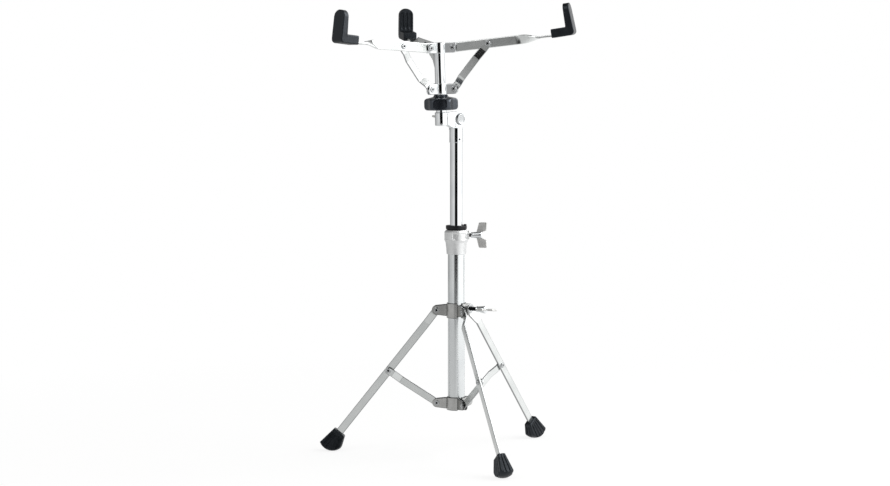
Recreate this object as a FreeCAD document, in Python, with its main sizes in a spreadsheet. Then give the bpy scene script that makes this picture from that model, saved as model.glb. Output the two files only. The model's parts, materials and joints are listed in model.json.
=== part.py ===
import FreeCAD, Part
import math
import os
import re
import Sketcher

# A folding snare drum stand: tripod base, telescoping mast, tilter and a three-arm basket.
# Lengths in millimetres, angles in degrees. Z is up and the floor is Z = 0.

Vector = FreeCAD.Vector
Rotation = FreeCAD.Rotation
Placement = FreeCAD.Placement

doc = FreeCAD.newDocument("SnareStand")
sheet = doc.addObject("Spreadsheet::Sheet", "Sizes")

# Driving sizes; an entry that starts with an equals sign is derived from the others.
sizes = {
    # where the mast stands in the outline of the whole stand
    "mast_x": 17.0,
    "mast_y": 11.5,
    # fits
    "run_gap": 0.05,
    "end_flat": 0.01,
    "face_gap": 0.25,
    # base tube, upper tube
    "tube_od": 25.4,
    "tube_wall": 1.6,
    "tube_low": 71.8,
    "tube_top": 339.3,
    "inner_od": 19.05,
    "inner_wall": 1.5,
    "inner_low": 186.8,
    "inner_top": 488.8,
    # legs
    "legs_az": 52.1,
    "leg_w": 11.6,
    "leg_t": 3.0,
    "leg_angle": 38.4,
    "leg_pivot_r": 29.5,
    "leg_pivot_z": 218.8,
    "leg_mid": 120.3,
    "leg_side": 7.0,
    "leg_bend_from": 10.5,
    "leg_bend_to": 25.0,
    # braces
    "brace_w": 11.0,
    "brace_t": 2.5,
    "brace_pivot_r": 29.3,
    "brace_pivot_z": 78.2,
    "brace_run": "=leg_pivot_r + leg_mid * sin(leg_angle) - brace_pivot_r",
    "brace_rise": "=leg_pivot_z - leg_mid * cos(leg_angle) - brace_pivot_z",
    "brace_len": "=sqrt(brace_run ^ 2 + brace_rise ^ 2)",
    "brace_bend_back": 24.0,
    "brace_flat": 9.0,
    "brace_bend_from": "=brace_len - brace_bend_back",
    "brace_bend_to": "=brace_len - brace_flat",
    "brace_side": "=leg_side - (leg_t + brace_t) / 2 - face_gap",
    # collars
    "plate_t": 2.0,
    "leg_collar_tall": 22.5,
    "leg_flange_tall": 17.5,
    "leg_ear_r": 7.2,
    "brace_collar_tall": 19.5,
    "brace_flange_tall": 16.5,
    "brace_ear_r": 6.8,
    # rivets and bolts
    "rivet_r": 2.5,
    "head_r": 4.4,
    "head_tall": 1.8,
    "flat_head_tall": 1.3,
    "bolt_r": 3.0,
    "washer_r": 7.0,
    "washer_t": 1.5,
    "nut_r": 5.8,
    "nut_tall": 4.5,
    "bolt_proud": 1.0,
    "head_slope": 0.6,
    # wing bolts
    "leg_bolt_seat": 16.5,
    "height_seat": 22.0,
    "wing_hub_len": 16.7,
    "wing_hub_r": 5.6,
    "wing_neck_r": 3.9,
    "wing_t": 3.2,
    "wing_from": 8.3,
    "wing_tip_from": 11.7,
    "wing_tip_to": 24.0,
    "wing_span_r": 19.0,
    "wing_slope": 1.0,
    "wing_flare": 1.4,
    "wing_round": 1.6,
    "leg_wing_turn": 84.0,
    "tilt_wing_turn": 105.0,
    # feet
    "sole_r": 20.5,
    "sole_flat": 0.7,
    "foot_above": 14.2,
    "foot_below": 22.0,
    "foot_shift": 3.3,
    "foot_top_w": 19.4,
    "foot_top_t": 11.5,
    "foot_outer": 14.4,
    "foot_inner": 23.3,
    "foot_low_t": 23.5,
    "foot_rib": 0.9,
    "foot_rib_slope": 0.12,
    "foot_bevel": 0.1,
    "broad_ribs": 5,
    "narrow_ribs": 3,
    "leg_in_foot": 6.0,
    "foot_centre": "=(leg_pivot_z - sole_r + sole_flat + foot_shift * sin(leg_angle)) / cos(leg_angle)",
    "leg_len": "=foot_centre + leg_in_foot",
    # height clamp, bushing and height wing bolt
    "clamp_low": 303.3,
    "clamp_foot_r": 14.6,
    "clamp_band_r": 18.0,
    "clamp_band_low": 324.8,
    "clamp_band_top": 336.3,
    "clamp_rim_r": 15.6,
    "clamp_az": -5.0,
    "clamp_bolt_z": 331.8,
    "clamp_boss_r": 6.3,
    "clamp_boss_end": 19.5,
    "window_deep": 0.7,
    "window_edge": 1.5,
    "clamp_taper": 0.5,
    "clamp_neck": 9.0,
    "clamp_hip": 4.5,
    "bush_low": 294.8,
    "bush_rim_r": 15.8,
    "bush_rim_top": 346.3,
    "bush_tab_tall": 1.8,
    "bush_tab_deep": 4.5,
    "bush_tab_w": 6.0,
    "bush_edge": 0.6,
    "bush_under": 2.0,
    # tilter
    "tilt_az": 222.0,
    "tilt_rest": 2.4,
    "hinge_z": 504.8,
    "boss_r": 10.8,
    "boss_len": 8.5,
    "boss_back": 10.5,
    "boss_cup_r": 8.8,
    "boss_cup_deep": 2.2,
    "bolt_short": 2.0,
    "neck_in": 2.0,
    "sleeve_wall": 1.0,
    "sleeve_low": 469.8,
    "sleeve_top": 491.8,
    "pin_r": 1.4,
    "pin_z": 474.8,
    "pin_az": -63.0,
    "pin_proud": 0.3,
    "post_off": 29.5,
    "post_od": 15.9,
    "post_sleeve_r": 9.8,
    "post_sleeve_low": -8.0,
    "post_sleeve_top": 11.5,
    "web_knee": 15.9,
    "web_drop": 1.0,
    "web_in": 4.0,
    "web_edge": 0.2,
    # basket: heights are measured from the tilter's hinge along the post
    "arms_az": -14.3,
    "post_low": -6.0,
    "post_top": 113.5,
    "hub_wall": 2.2,
    "upper_hub_z": 106.5,
    "upper_hub_tall": 16.0,
    "upper_pivot_r": 20.5,
    "lower_hub_z": 46.0,
    "lower_hub_tall": 16.5,
    "lower_pivot_r": 20.5,
    "hub_ear_out": 5.8,
    "hub_ear_tall": 15.0,
    "hub_ear_round": 4.5,
    # knob
    "knob_low": 15.2,
    "knob_tall": 17.8,
    "knob_r": 25.1,
    "knob_neck_r": 10.0,
    "knob_neck_tall": "=lower_hub_z - lower_hub_tall / 2 - knob_low - knob_tall - face_gap",
    "insert_r": 9.3,
    "scallop_r": 34.0,
    "scallop_deep": 3.2,
    "knob_az": -93.5,
    "knob_edge": 1.6,
    "knob_belly": 4.5,
    "knob_crown": 0.8,
    "knob_shoulder": 1.5,
    # arms, struts, grips
    "arm_w": 13.6,
    "arm_t": 3.0,
    "arm_rise": 4.9,
    "arm_mid": 54.2,
    "arm_len": 176.0,
    "grip_cover": 25.5,
    "grip_from": "=arm_len - grip_cover",
    "arm_bare": 18.5,
    "arm_twist_len": 33.0,
    "arm_twist_turn": 90.0,
    "arm_twist_to": "=grip_from - arm_bare",
    "arm_twist_from": "=arm_twist_to - arm_twist_len",
    "strut_w": 11.4,
    "strut_t": 2.5,
    "strut_run": "=upper_pivot_r + arm_mid * cos(arm_rise) - lower_pivot_r",
    "strut_lift": "=upper_hub_z + arm_mid * sin(arm_rise) - lower_hub_z",
    "strut_len": "=sqrt(strut_run ^ 2 + strut_lift ^ 2)",
    "strut_side": "=(arm_t + strut_t) / 2 + face_gap",
    "strut_bow": 7.0,
    "strut_bend_from": 10.0,
    "strut_bend_to": 21.0,
    "strut_crank_back": 26.0,
    "strut_flat": 12.0,
    "strut_crank_from": "=strut_len - strut_crank_back",
    "strut_crank_to": "=strut_len - strut_flat",
    "arm_in_pad": 3.2,
    "grip_pad_in": "=arm_len - arm_in_pad",
    "grip_pad_t": 12.2,
    "grip_pad_out": "=grip_pad_in + grip_pad_t",
    "grip_tip_t": 9.0,
    "grip_tip_out": "=grip_pad_in + grip_tip_t",
    "grip_w": 22.0,
    "grip_sleeve_w": 21.0,
    "grip_low": -3.3,
    "grip_shelf": 9.6,
    "grip_top": 43.6,
    "grip_top_r": 10.0,
    "grip_heel_r": 5.5,
    "grip_groove_r": 1.6,
    "grip_groove_pitch": 6.3,
    "grip_groove_out": 0.5,
    "grip_groove_low": 3.0,
    "grip_groove_end": 5.0,
    "grip_lean": 2.3,
}
for row, (alias, value) in enumerate(sizes.items(), 1):
    sheet.set(f"A{row}", alias)
    sheet.set(f"B{row}", str(value))
    sheet.setAlias(f"B{row}", alias)
doc.recompute()

xAxis = Vector(1, 0, 0)
yAxis = Vector(0, 1, 0)
zAxis = Vector(0, 0, 1)
alongX = Rotation(yAxis, 90)
alongY = Rotation(xAxis, -90)
upright = Rotation()
third = 120.0
tiny = 1e-6
parts = {}


def num(text):
    # the present value of an expression over the sheet
    answer = sheet.evalExpression(str(text))
    return float(getattr(answer, "Value", answer))


def link(text):
    # the same expression as another object has to write it
    return re.sub(r"[a-z_]{3,}", lambda m: "Sizes." + m.group() if m.group() in sizes else m.group(), str(text))


def bind(item, prop, text):
    item.setExpression(prop, link(text))


def put(item, spot, turn=upright):
    # places a building block; each coordinate given as text is held by its expression
    item.Placement = Placement(Vector(*[num(c) for c in spot]), turn)
    for axis, text in zip("xyz", spot):
        if isinstance(text, str):
            bind(item, f"Placement.Base.{axis}", text)
    return item


def cylinder(radius, height, spot=(0, 0, 0), turn=upright):
    item = doc.addObject("Part::Cylinder", "Round")
    bind(item, "Radius", radius)
    bind(item, "Height", height)
    return put(item, spot, turn)


def cone(low, high, height, spot=(0, 0, 0), turn=upright):
    item = doc.addObject("Part::Cone", "Taper")
    bind(item, "Radius1", low)
    bind(item, "Radius2", high)
    bind(item, "Height", height)
    return put(item, spot, turn)


def block(length, width, height, spot, turn=upright):
    item = doc.addObject("Part::Box", "Block")
    bind(item, "Length", length)
    bind(item, "Width", width)
    bind(item, "Height", height)
    return put(item, spot, turn)


def fuse(*items):
    item = doc.addObject("Part::MultiFuse", "Joined")
    item.Shapes = list(items)
    item.Refine = True
    return item


def cut(base, *tools):
    item = doc.addObject("Part::Cut", "Cut")
    item.Base = base
    item.Tool = tools[0] if len(tools) == 1 else fuse(*tools)
    return item


def newBody():
    return doc.addObject("PartDesign::Body", "Body")


def sketch(body, role, corners, offset=None, turned=0.0):
    # a closed outline on an origin plane of the body, every corner held by two expressions
    item = body.newObject("Sketcher::SketchObject", "Outline")
    plane = next(f for f in body.Origin.OriginFeatures if f.Role == role)
    item.AttachmentSupport = [(plane, "")]
    item.MapMode = "FlatFace"
    spots = [Vector(num(a), num(b), 0) for a, b in corners]
    count = len(spots)
    for i, spot in enumerate(spots):
        item.addGeometry(Part.LineSegment(spot, spots[(i + 1) % count]), False)
    for i in range(count):
        item.addConstraint(Sketcher.Constraint("Coincident", i, 2, (i + 1) % count, 1))
    for i, corner in enumerate(corners):
        for kind, axis, text in (("DistanceX", -2, corner[0]), ("DistanceY", -1, corner[1])):
            size = num(text)
            if abs(size) < tiny:
                item.addConstraint(Sketcher.Constraint("PointOnObject", i, 1, axis))
            elif size > 0:
                index = item.addConstraint(Sketcher.Constraint(kind, -1, 1, i, 1, size))
                bind(item, f"Constraints[{index}]", text)
            else:
                index = item.addConstraint(Sketcher.Constraint(kind, i, 1, -1, 1, -size))
                bind(item, f"Constraints[{index}]", f"-({text})")
    if offset is not None:
        item.AttachmentOffset = Placement(Vector(0, 0, num(offset)), Rotation(zAxis, turned))
        bind(item, "AttachmentOffset.Base.z", offset)
    return item


def pad(body, outline, length):
    item = body.newObject("PartDesign::Pad", "Pad")
    item.Profile = outline
    item.SideType = "Symmetric"
    bind(item, "Length", length)
    return item


def revolve(body, outline):
    item = body.newObject("PartDesign::Revolution", "Turned")
    item.Profile = outline
    item.ReferenceAxis = (outline, ["V_Axis"])
    item.Angle = 360
    return item


def rounded(body, base, radius, wanted):
    # rounds the edges of the last feature that the test picks out
    doc.recompute()
    names = [f"Edge{i}" for i, edge in enumerate(base.Shape.Edges, 1) if wanted(edge)]
    item = body.newObject("PartDesign::Fillet", "Rounded")
    item.Base = (base, names)
    bind(item, "Radius", radius)
    return item


def runsAlong(edge, axis):
    if edge.Curve.TypeId != "Part::GeomLine":
        return False
    return abs(edge.Curve.Direction.dot(axis)) > 0.999


def strap(corners, width, round_low=None, round_high=None):
    # side view of a flat bar in the XY plane, padded to its width; round_low and round_high name its round ends
    body = newBody()
    bar = pad(body, sketch(body, "XY_Plane", corners), width)
    ends = [num(x) for x in (round_low, round_high) if x is not None]

    def atEnd(edge):
        return runsAlong(edge, yAxis) and any(abs(edge.Vertexes[0].Point.x - x) < tiny for x in ends)

    rounded(body, bar, f"{width} / 2 - end_flat", atEnd)
    return body


def finish(name, item, frame):
    # the finished piece: its name and its place on the stand
    item.Label = name
    item.Placement = frame
    parts[name] = item


def at(x, y, z, turn=upright):
    return Placement(Vector(x, y, z), turn)


def about(axis, angle):
    return Placement(Vector(), Rotation(axis, angle))


mast = at(num("mast_x"), num("mast_y"), 0)


def pin(shank, low, high, head, tall, spot=(0, 0, 0)):
    # a rivet along Y with a flat head at each end of its grip
    x, y, z = spot
    body = fuse(
        cylinder(shank, f"{high} - ({low})", (x, low, z), alongY),
        cone(head, f"{head} - {tall} * head_slope", tall, (x, high, z), alongY),
        cone(f"{head} - {tall} * head_slope", head, tall, (x, f"{low} - {tall}", z), alongY),
    )
    return body


# Base tube with the hole for the height bolt
tubeHole = cylinder(
    "bolt_r + run_gap", "tube_od", (0, 0, "clamp_bolt_z"), Rotation(zAxis, num("clamp_az")).multiply(alongX)
)
baseTube = cut(
    cylinder("tube_od / 2", "tube_top - tube_low", (0, 0, "tube_low")),
    cylinder("tube_od / 2 - tube_wall", "tube_top - tube_low", (0, 0, "tube_low")),
    tubeHole,
)
finish("base_tube", baseTube, mast)


def collarPlate(strap_t, pivot_r, tall, flange, ear_r, bore, holes):
    # one third of a collar: a band around the tube with a flange at each end
    gap = f"({strap_t} / 2 + face_gap)"
    start = math.degrees(math.asin(num(gap) / num(bore)))
    band = cylinder(f"{bore} + plate_t", tall, (0, 0, f"-{tall} / 2"), Rotation(zAxis, start))
    band.Angle = third - 2 * start
    root = f"sqrt(({bore}) ^ 2 - {gap} ^ 2)"
    outline = [
        (root, f"-{flange} / 2"),
        (f"{bore} + 2 * plate_t", f"-{flange} / 2"),
        (pivot_r, f"-{ear_r}"),
        (pivot_r, ear_r),
        (f"{bore} + 2 * plate_t", f"{flange} / 2"),
        (root, f"{flange} / 2"),
    ]
    flanges = []
    for low, turn, hole in ((gap, 0.0, holes[0]), (f"-{gap} - plate_t", third, holes[1])):
        body = newBody()
        pad(body, sketch(body, "XZ_Plane", outline), "plate_t")
        put(body, (0, f"{low} + plate_t / 2", 0))
        flange = cut(
            fuse(body, cylinder(ear_r, "plate_t", (pivot_r, low, 0), alongY)),
            cylinder(hole, "3 * plate_t", (pivot_r, f"{low} - plate_t", 0), alongY),
        )
        flange.Placement = about(zAxis, turn)
        flanges.append(flange)
    return cut(fuse(band, *flanges), cylinder(bore, f"2 * {tall}", (0, 0, f"-{tall}")))


def group(items, turns):
    # the same small piece repeated around an axis
    for item, turn in zip(items, turns):
        item.Placement = about(zAxis, turn)
    whole = doc.addObject("Part::Compound", "Group")
    whole.Links = items
    return whole


def bar(path, thick, width):
    # a flat bar whose middle plane follows the path, with a round end wherever the path overruns by half its width
    low = [(u, f"{n} - {thick} / 2") for u, n in path]
    high = [(u, f"{n} + {thick} / 2") for u, n in reversed(path)]
    return strap(low + high, width, *[u for u, n in (path[0], path[-1]) if "/ 2" in u])


def stub(low, high, headSide, spot):
    # half of an open joint's rivet along Y: a shank in one strap and the head on its outer face
    shank = cylinder("rivet_r", f"{high} - ({low})", (spot, low, 0), alongY)
    if headSide > 0:
        head = cone("head_r", "head_r - head_tall * head_slope", "head_tall", (spot, high, 0), alongY)
    else:
        head = cone("head_r - head_tall * head_slope", "head_r", "head_tall", (spot, f"{low} - head_tall", 0), alongY)
    return fuse(shank, head)


def eye(radius, spot):
    # a hole along Y through a strap
    return cylinder(radius, "8 * leg_side", (spot, "-4 * leg_side", 0), alongY)


legTurns = [num("legs_az") + k * third for k in range(3)]
legGap = "(leg_t / 2 + face_gap)"
braceGap = "(brace_t / 2 + face_gap)"

# Brace collar, fixed at the foot of the base tube
for k, turn in enumerate(legTurns):
    plate = collarPlate(
        "brace_t", "brace_pivot_r", "brace_collar_tall", "brace_flange_tall", "brace_ear_r", "tube_od / 2",
        ("rivet_r", "rivet_r"),
    )
    finish(f"brace_collar_plate_{k + 1}", plate, mast * at(0, 0, num("brace_pivot_z")) * about(zAxis, turn))
braceRivets = [
    pin("rivet_r", f"-{braceGap} - plate_t", f"{braceGap} + plate_t", "head_r", "flat_head_tall", ("brace_pivot_r", 0, 0))
    for turn in legTurns
]
finish("brace_collar_rivets", group(braceRivets, legTurns), mast * at(0, 0, num("brace_pivot_z")))

# Leg collar, sliding on the base tube; the first leg's ears are drawn together by a wing bolt
collarFrame = mast * at(0, 0, num("leg_pivot_z"))
legHoles = ["bolt_r + run_gap", "rivet_r", "rivet_r"]
for k, turn in enumerate(legTurns):
    plate = collarPlate(
        "leg_t", "leg_pivot_r", "leg_collar_tall", "leg_flange_tall", "leg_ear_r", "(tube_od / 2 + run_gap)",
        (legHoles[k], legHoles[(k + 1) % 3]),
    )
    finish(f"leg_collar_plate_{k + 1}", plate, collarFrame * about(zAxis, turn))
legRivets = [
    pin("rivet_r", f"-{legGap} - plate_t", f"{legGap} + plate_t", "head_r", "head_tall", ("leg_pivot_r", 0, 0))
    for turn in legTurns[1:]
]
finish("leg_collar_rivets", group(legRivets, legTurns[1:]), collarFrame)
nut = doc.addObject("Part::Prism", "Nut")
nut.Polygon = 6
bind(nut, "Circumradius", "nut_r")
bind(nut, "Height", "nut_tall")
put(nut, ("leg_pivot_r", f"{legGap} + plate_t", 0), alongY)
legNut = cut(nut, cylinder("bolt_r + run_gap", "2 * nut_tall", ("leg_pivot_r", f"{legGap}", 0), alongY))
finish("leg_collar_nut", legNut, collarFrame * about(zAxis, legTurns[0]))
washerSpot = ("leg_pivot_r", f"-{legGap} - plate_t - washer_t", 0)
legWasher = cut(
    cylinder("washer_r", "washer_t", washerSpot, alongY),
    cylinder("bolt_r + run_gap", "2 * washer_t", washerSpot, alongY),
)
finish("leg_wing_washer", legWasher, collarFrame * about(zAxis, legTurns[0]))


def wings():
    # a wing head along X: a tapered hub and two flared wings in the XZ plane
    body = newBody()
    half = [
        ("wing_from", "wing_hub_r - wing_slope"),
        ("wing_tip_from", "wing_span_r - wing_slope / 2"),
        ("wing_tip_to", "wing_span_r"),
        ("wing_tip_to - wing_slope", "wing_hub_r + wing_flare"),
        ("wing_hub_len", "wing_hub_r - wing_slope"),
    ]
    other = [(x, f"-({z})") for x, z in reversed(half)]
    plate = pad(body, sketch(body, "XZ_Plane", half + other), "wing_t")
    farOut = num("wing_span_r - wing_round")
    rounded(body, plate, "wing_round", lambda e: runsAlong(e, yAxis) and abs(e.Vertexes[0].Point.z) > farOut)
    return fuse(body, cone("wing_neck_r", "wing_hub_r", "wing_hub_len", (0, 0, 0), alongX))


def wingBolt(shank):
    return fuse(wings(), cylinder("bolt_r", shank, (f"-({shank})", 0, 0), alongX))


legBolt = wingBolt(f"leg_bolt_seat + {legGap} + plate_t + nut_tall + bolt_proud")
legBoltFrame = collarFrame * about(zAxis, legTurns[0]) * at(num("leg_pivot_r"), -num("leg_bolt_seat"), 0)
edgeOn = about(xAxis, num("leg_wing_turn"))
finish("leg_wing_bolt", legBolt, legBoltFrame * about(zAxis, -90) * edgeOn)


def footShape():
    # a ribbed boot along X: a ruled loft between two ribbed outlines, a ball-shaped sole and a flat spot on the floor
    top = num("foot_centre - foot_above")
    tip = num("foot_centre + foot_below")
    side = -num("leg_side")
    rib = num("foot_rib")
    slope = num("foot_rib_slope")
    broad = int(num("broad_ribs"))
    narrow = int(num("narrow_ribs"))

    def face(start, end, inward, count):
        # one ribbed face: raised and sunk strips in turn from one corner to the next
        steps = 2 * count - 1
        spots = []
        for i in range(steps):
            sunk = inward * (rib if i % 2 else 0.0)
            for part in (slope, 1 - slope):
                spots.append(start + (end - start) * ((i + part) / steps) + sunk)
        return spots

    def outline(u, inner, outer, thick):
        bevel = num("foot_bevel") * (inner + outer)
        low = Vector(u, side, -inner)
        high = Vector(u, side, outer)
        out = Vector(0, thick / 2, 0)
        along = Vector(0, bevel, 0)
        up = Vector(0, 0, bevel)
        down = Vector(0, 0, -1)
        right = Vector(0, -1, 0)
        spots = face(low + out + up, high + out - up, right, broad)
        spots += face(high + out - along, high - out + along, down, narrow)
        spots += face(high - out - up, low - out + up, right * -1, broad)
        spots += face(low - out + along, low + out - along, down * -1, narrow)
        return Part.makePolygon(spots + spots[:1])

    boot = Part.makeLoft(
        [
            outline(top, num("foot_top_w / 2"), num("foot_top_w / 2"), num("foot_top_t")),
            outline(tip, num("foot_inner"), num("foot_outer"), num("foot_low_t")),
        ],
        True,
        True,
    )
    centre = Vector(num("foot_centre"), side, num("foot_shift"))
    reach = 4 * num("sole_r")
    shaft = Part.makeBox(reach, reach, reach, centre + Vector(-reach, -reach / 2, -reach / 2))
    ball = Part.makeSphere(num("sole_r"), centre)
    boot = boot.common(ball.fuse(shaft))
    mouth = top - num("leg_w")
    pocket = Part.makeBox(
        num("leg_len") - mouth,
        num("leg_t"),
        num("leg_w"),
        Vector(mouth, side - num("leg_t / 2"), -num("leg_w / 2")),
    )
    lean = about(yAxis, 90 - num("leg_angle"))
    drop = num("leg_pivot_z")
    ground = Part.makeBox(reach * 8, reach * 2, reach, Vector(-reach, -reach, -drop - reach))
    ground.Placement = lean.inverse()
    return boot.cut(pocket).cut(ground)


legSole = "-leg_side + leg_t / 2"
braceMid = "-brace_side"
footSolid = footShape()
for k, turn in enumerate(legTurns):
    pivot = collarFrame * about(zAxis, turn) * at(num("leg_pivot_r"), 0, 0) * about(yAxis, 90 - num("leg_angle"))
    path = [("-leg_w / 2", "0"), ("leg_bend_from", "0"), ("leg_bend_to", "-leg_side"), ("leg_len", "-leg_side")]
    leg = cut(
        bar(path, "leg_t", "leg_w"),
        eye("bolt_r + run_gap" if k == 0 else "rivet_r + run_gap", "0"),
        eye("rivet_r", "leg_mid"),
    )
    finish(f"leg_{k + 1}", leg, pivot)
    finish(f"leg_rivet_{k + 1}", stub("-leg_side - leg_t / 2", legSole, -1, "leg_mid"), pivot)
    foot = doc.addObject("Part::Feature", "Foot")
    foot.Shape = footSolid
    finish(f"foot_{k + 1}", foot, pivot)

    lean = 90 - math.degrees(math.atan2(num("brace_rise"), num("brace_run")))
    base = mast * at(0, 0, num("brace_pivot_z")) * about(zAxis, turn) * at(num("brace_pivot_r"), 0, 0)
    path = [
        ("-brace_w / 2", "0"),
        ("brace_bend_from", "0"),
        ("brace_bend_to", braceMid),
        ("brace_len + brace_w / 2", braceMid),
    ]
    brace = cut(
        bar(path, "brace_t", "brace_w"),
        eye("rivet_r + run_gap", "0"),
        eye("rivet_r", "brace_len"),
    )
    swing = base * about(yAxis, lean - 90)
    finish(f"brace_{k + 1}", brace, swing)
    head = stub(f"{braceMid} - brace_t / 2", f"{braceMid} + brace_t / 2", 1, "brace_len")
    finish(f"brace_rivet_{k + 1}", head, swing)

# Height clamp: a turned casting with shallow windows and a boss for the height bolt
body = newBody()
revolve(
    body,
    sketch(
        body,
        "XZ_Plane",
        [
            ("tube_od / 2", "clamp_low"),
            ("clamp_foot_r", "clamp_low"),
            ("clamp_foot_r + clamp_taper", "clamp_low + clamp_neck"),
            ("clamp_foot_r + 3 * clamp_taper", "clamp_band_low - clamp_hip"),
            ("clamp_band_r", "clamp_band_low"),
            ("clamp_band_r", "clamp_band_top"),
            ("clamp_rim_r", "tube_top"),
            ("tube_od / 2", "tube_top"),
        ],
    ),
)
boss = cylinder("clamp_boss_r", "clamp_boss_end - clamp_foot_r", ("clamp_foot_r", 0, "clamp_bolt_z"), alongX)
faces = 8
windows = []
for k in range(1, faces):
    window = block(
        "4 * window_deep",
        "clamp_band_r / 2",
        "clamp_band_top - clamp_band_low - 2 * window_edge",
        ("clamp_band_r - window_deep", "-clamp_band_r / 4", "clamp_band_low + window_edge"),
    )
    turned = doc.addObject("Part::Compound", "Window")
    turned.Links = [window]
    turned.Placement = about(zAxis, 360.0 / faces * k)
    windows.append(turned)
clampHole = cylinder("bolt_r + run_gap", "tube_od", (0, 0, "clamp_bolt_z"), alongX)
clamp = cut(fuse(body, boss), clampHole, *windows)
clampFrame = mast * about(zAxis, num("clamp_az"))
finish("height_clamp", clamp, clampFrame)

heightBolt = wingBolt("height_seat - tube_od / 2 + tube_wall - face_gap")
finish("height_wing_bolt", heightBolt, clampFrame * at(num("height_seat"), 0, num("clamp_bolt_z")))

# Height bushing: a sleeve inside the base tube under a black rim with a raised tab
body = newBody()
revolve(
    body,
    sketch(
        body,
        "XZ_Plane",
        [
            ("inner_od / 2 + run_gap", "bush_low"),
            ("tube_od / 2 - tube_wall - run_gap", "bush_low"),
            ("tube_od / 2 - tube_wall - run_gap", "tube_top"),
            ("bush_rim_r - bush_under", "tube_top"),
            ("bush_rim_r", "tube_top + bush_under"),
            ("bush_rim_r", "bush_rim_top - bush_edge"),
            ("bush_rim_r - bush_edge", "bush_rim_top"),
            ("inner_od / 2 + run_gap", "bush_rim_top"),
        ],
    ),
)
tab = block(
    "bush_tab_deep",
    "bush_tab_w",
    "bush_tab_tall + bush_edge",
    ("bush_rim_r - bush_edge - bush_tab_deep", "-bush_tab_w / 2", "bush_rim_top - bush_edge"),
)
finish("height_bushing", fuse(body, tab), clampFrame)

# Upper tube and the tilter's lower half, pinned together
sleeveR = "(inner_od / 2 + sleeve_wall)"
pinFrame = at(0, 0, num("pin_z")) * about(zAxis, num("pin_az"))
rod = cylinder("pin_r", f"2 * ({sleeveR} + pin_proud)")
finish("tilter_pin", rod, mast * pinFrame * at(-num(f"{sleeveR} + pin_proud"), 0, 0, alongX))


def pinHole(frame):
    # the pin's hole in the frame of the piece it goes through
    hole = cylinder("pin_r", f"4 * {sleeveR}", (0, 0, f"-2 * {sleeveR}"))
    turned = doc.addObject("Part::Compound", "PinHole")
    turned.Links = [hole]
    turned.Placement = frame * at(0, 0, 0, alongX)
    return turned


upperTube = cut(
    cylinder("inner_od / 2", "inner_top - inner_low", (0, 0, "inner_low")),
    cylinder("inner_od / 2 - inner_wall", "inner_top - inner_low", (0, 0, "inner_low")),
    pinHole(pinFrame),
)
finish("upper_tube", upperTube, mast)

hinge = at(0, 0, num("hinge_z")) * about(zAxis, num("tilt_az"))
hingeFrame = mast * hinge
lower = fuse(
    cylinder(sleeveR, "sleeve_top - sleeve_low", (0, 0, "sleeve_low - hinge_z")),
    cylinder("boss_r", "boss_back", (0, "-boss_back - face_gap / 2", 0), alongY),
    block(
        "1.5 * boss_r",
        "boss_len",
        "hinge_z - sleeve_top + neck_in",
        ("-0.75 * boss_r", "-boss_len - face_gap / 2", "sleeve_top - hinge_z - neck_in"),
    ),
)
tilterLower = cut(
    lower,
    cylinder("inner_od / 2", "inner_top - sleeve_low", (0, 0, "sleeve_low - hinge_z")),
    cylinder("bolt_r + run_gap", "3 * boss_back", (0, "-2 * boss_back", 0), alongY),
    pinHole(hinge.inverse() * pinFrame),
)
finish("tilter_lower", tilterLower, hingeFrame)

# Tilter's upper half: hinge boss with a cupped face, web, and the sleeve that holds the basket post
tiltFrame = hingeFrame * about(yAxis, num("tilt_rest"))
body = newBody()
pad(
    body,
    sketch(
        body,
        "XZ_Plane",
        [
            (0, "-boss_r + web_edge"),
            ("web_knee", "-boss_r - web_drop"),
            ("post_off - post_sleeve_r + web_in", "post_sleeve_low"),
            ("post_off", "post_sleeve_low"),
            ("post_off", "post_sleeve_top"),
            (0, "boss_r - web_edge"),
        ],
    ),
    "boss_len - face_gap / 2",
)
put(body, (0, "boss_len / 2 + face_gap / 4", 0))
upper = fuse(
    cylinder("boss_r", "boss_len - face_gap / 2", (0, "face_gap / 2", 0), alongY),
    body,
    cylinder("post_sleeve_r", "post_sleeve_top - post_sleeve_low", ("post_off", 0, "post_sleeve_low")),
)
tilterUpper = cut(
    upper,
    cylinder("post_od / 2", "2 * post_sleeve_top - post_sleeve_low", ("post_off", 0, "post_low")),
    cylinder("bolt_r", "2 * boss_len", (0, "-boss_len", 0), alongY),
    cylinder("boss_cup_r", "2 * boss_cup_deep", (0, "boss_len - boss_cup_deep", 0), alongY),
)
finish("tilter_upper", tilterUpper, tiltFrame)
boltReach = "(boss_back + face_gap + wing_hub_len - bolt_short)"
tilterBolt = fuse(
    cylinder("2 * bolt_r", "boss_cup_deep / 2", (0, "boss_len - boss_cup_deep", 0), alongY),
    cylinder("bolt_r", f"boss_len - boss_cup_deep + {boltReach}", (0, f"-{boltReach}", 0), alongY),
)
finish("tilter_bolt", tilterBolt, tiltFrame)
wingNut = cut(wings(), cylinder("bolt_r + run_gap", "2 * wing_hub_len", ("-wing_hub_len / 2", 0, 0), alongX))
nutFrame = tiltFrame * at(0, -num("boss_back + face_gap"), 0) * about(zAxis, -90)
finish("tilter_wing_nut", wingNut, nutFrame * about(xAxis, num("tilt_wing_turn")))

# Basket post with its two hubs
basket = tiltFrame * at(num("post_off"), 0, 0)
armTurns = [num("arms_az - tilt_az") + k * third for k in range(3)]
finish("basket_post", cylinder("post_od / 2", "post_top - post_low"), basket * at(0, 0, num("post_low")))


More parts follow.
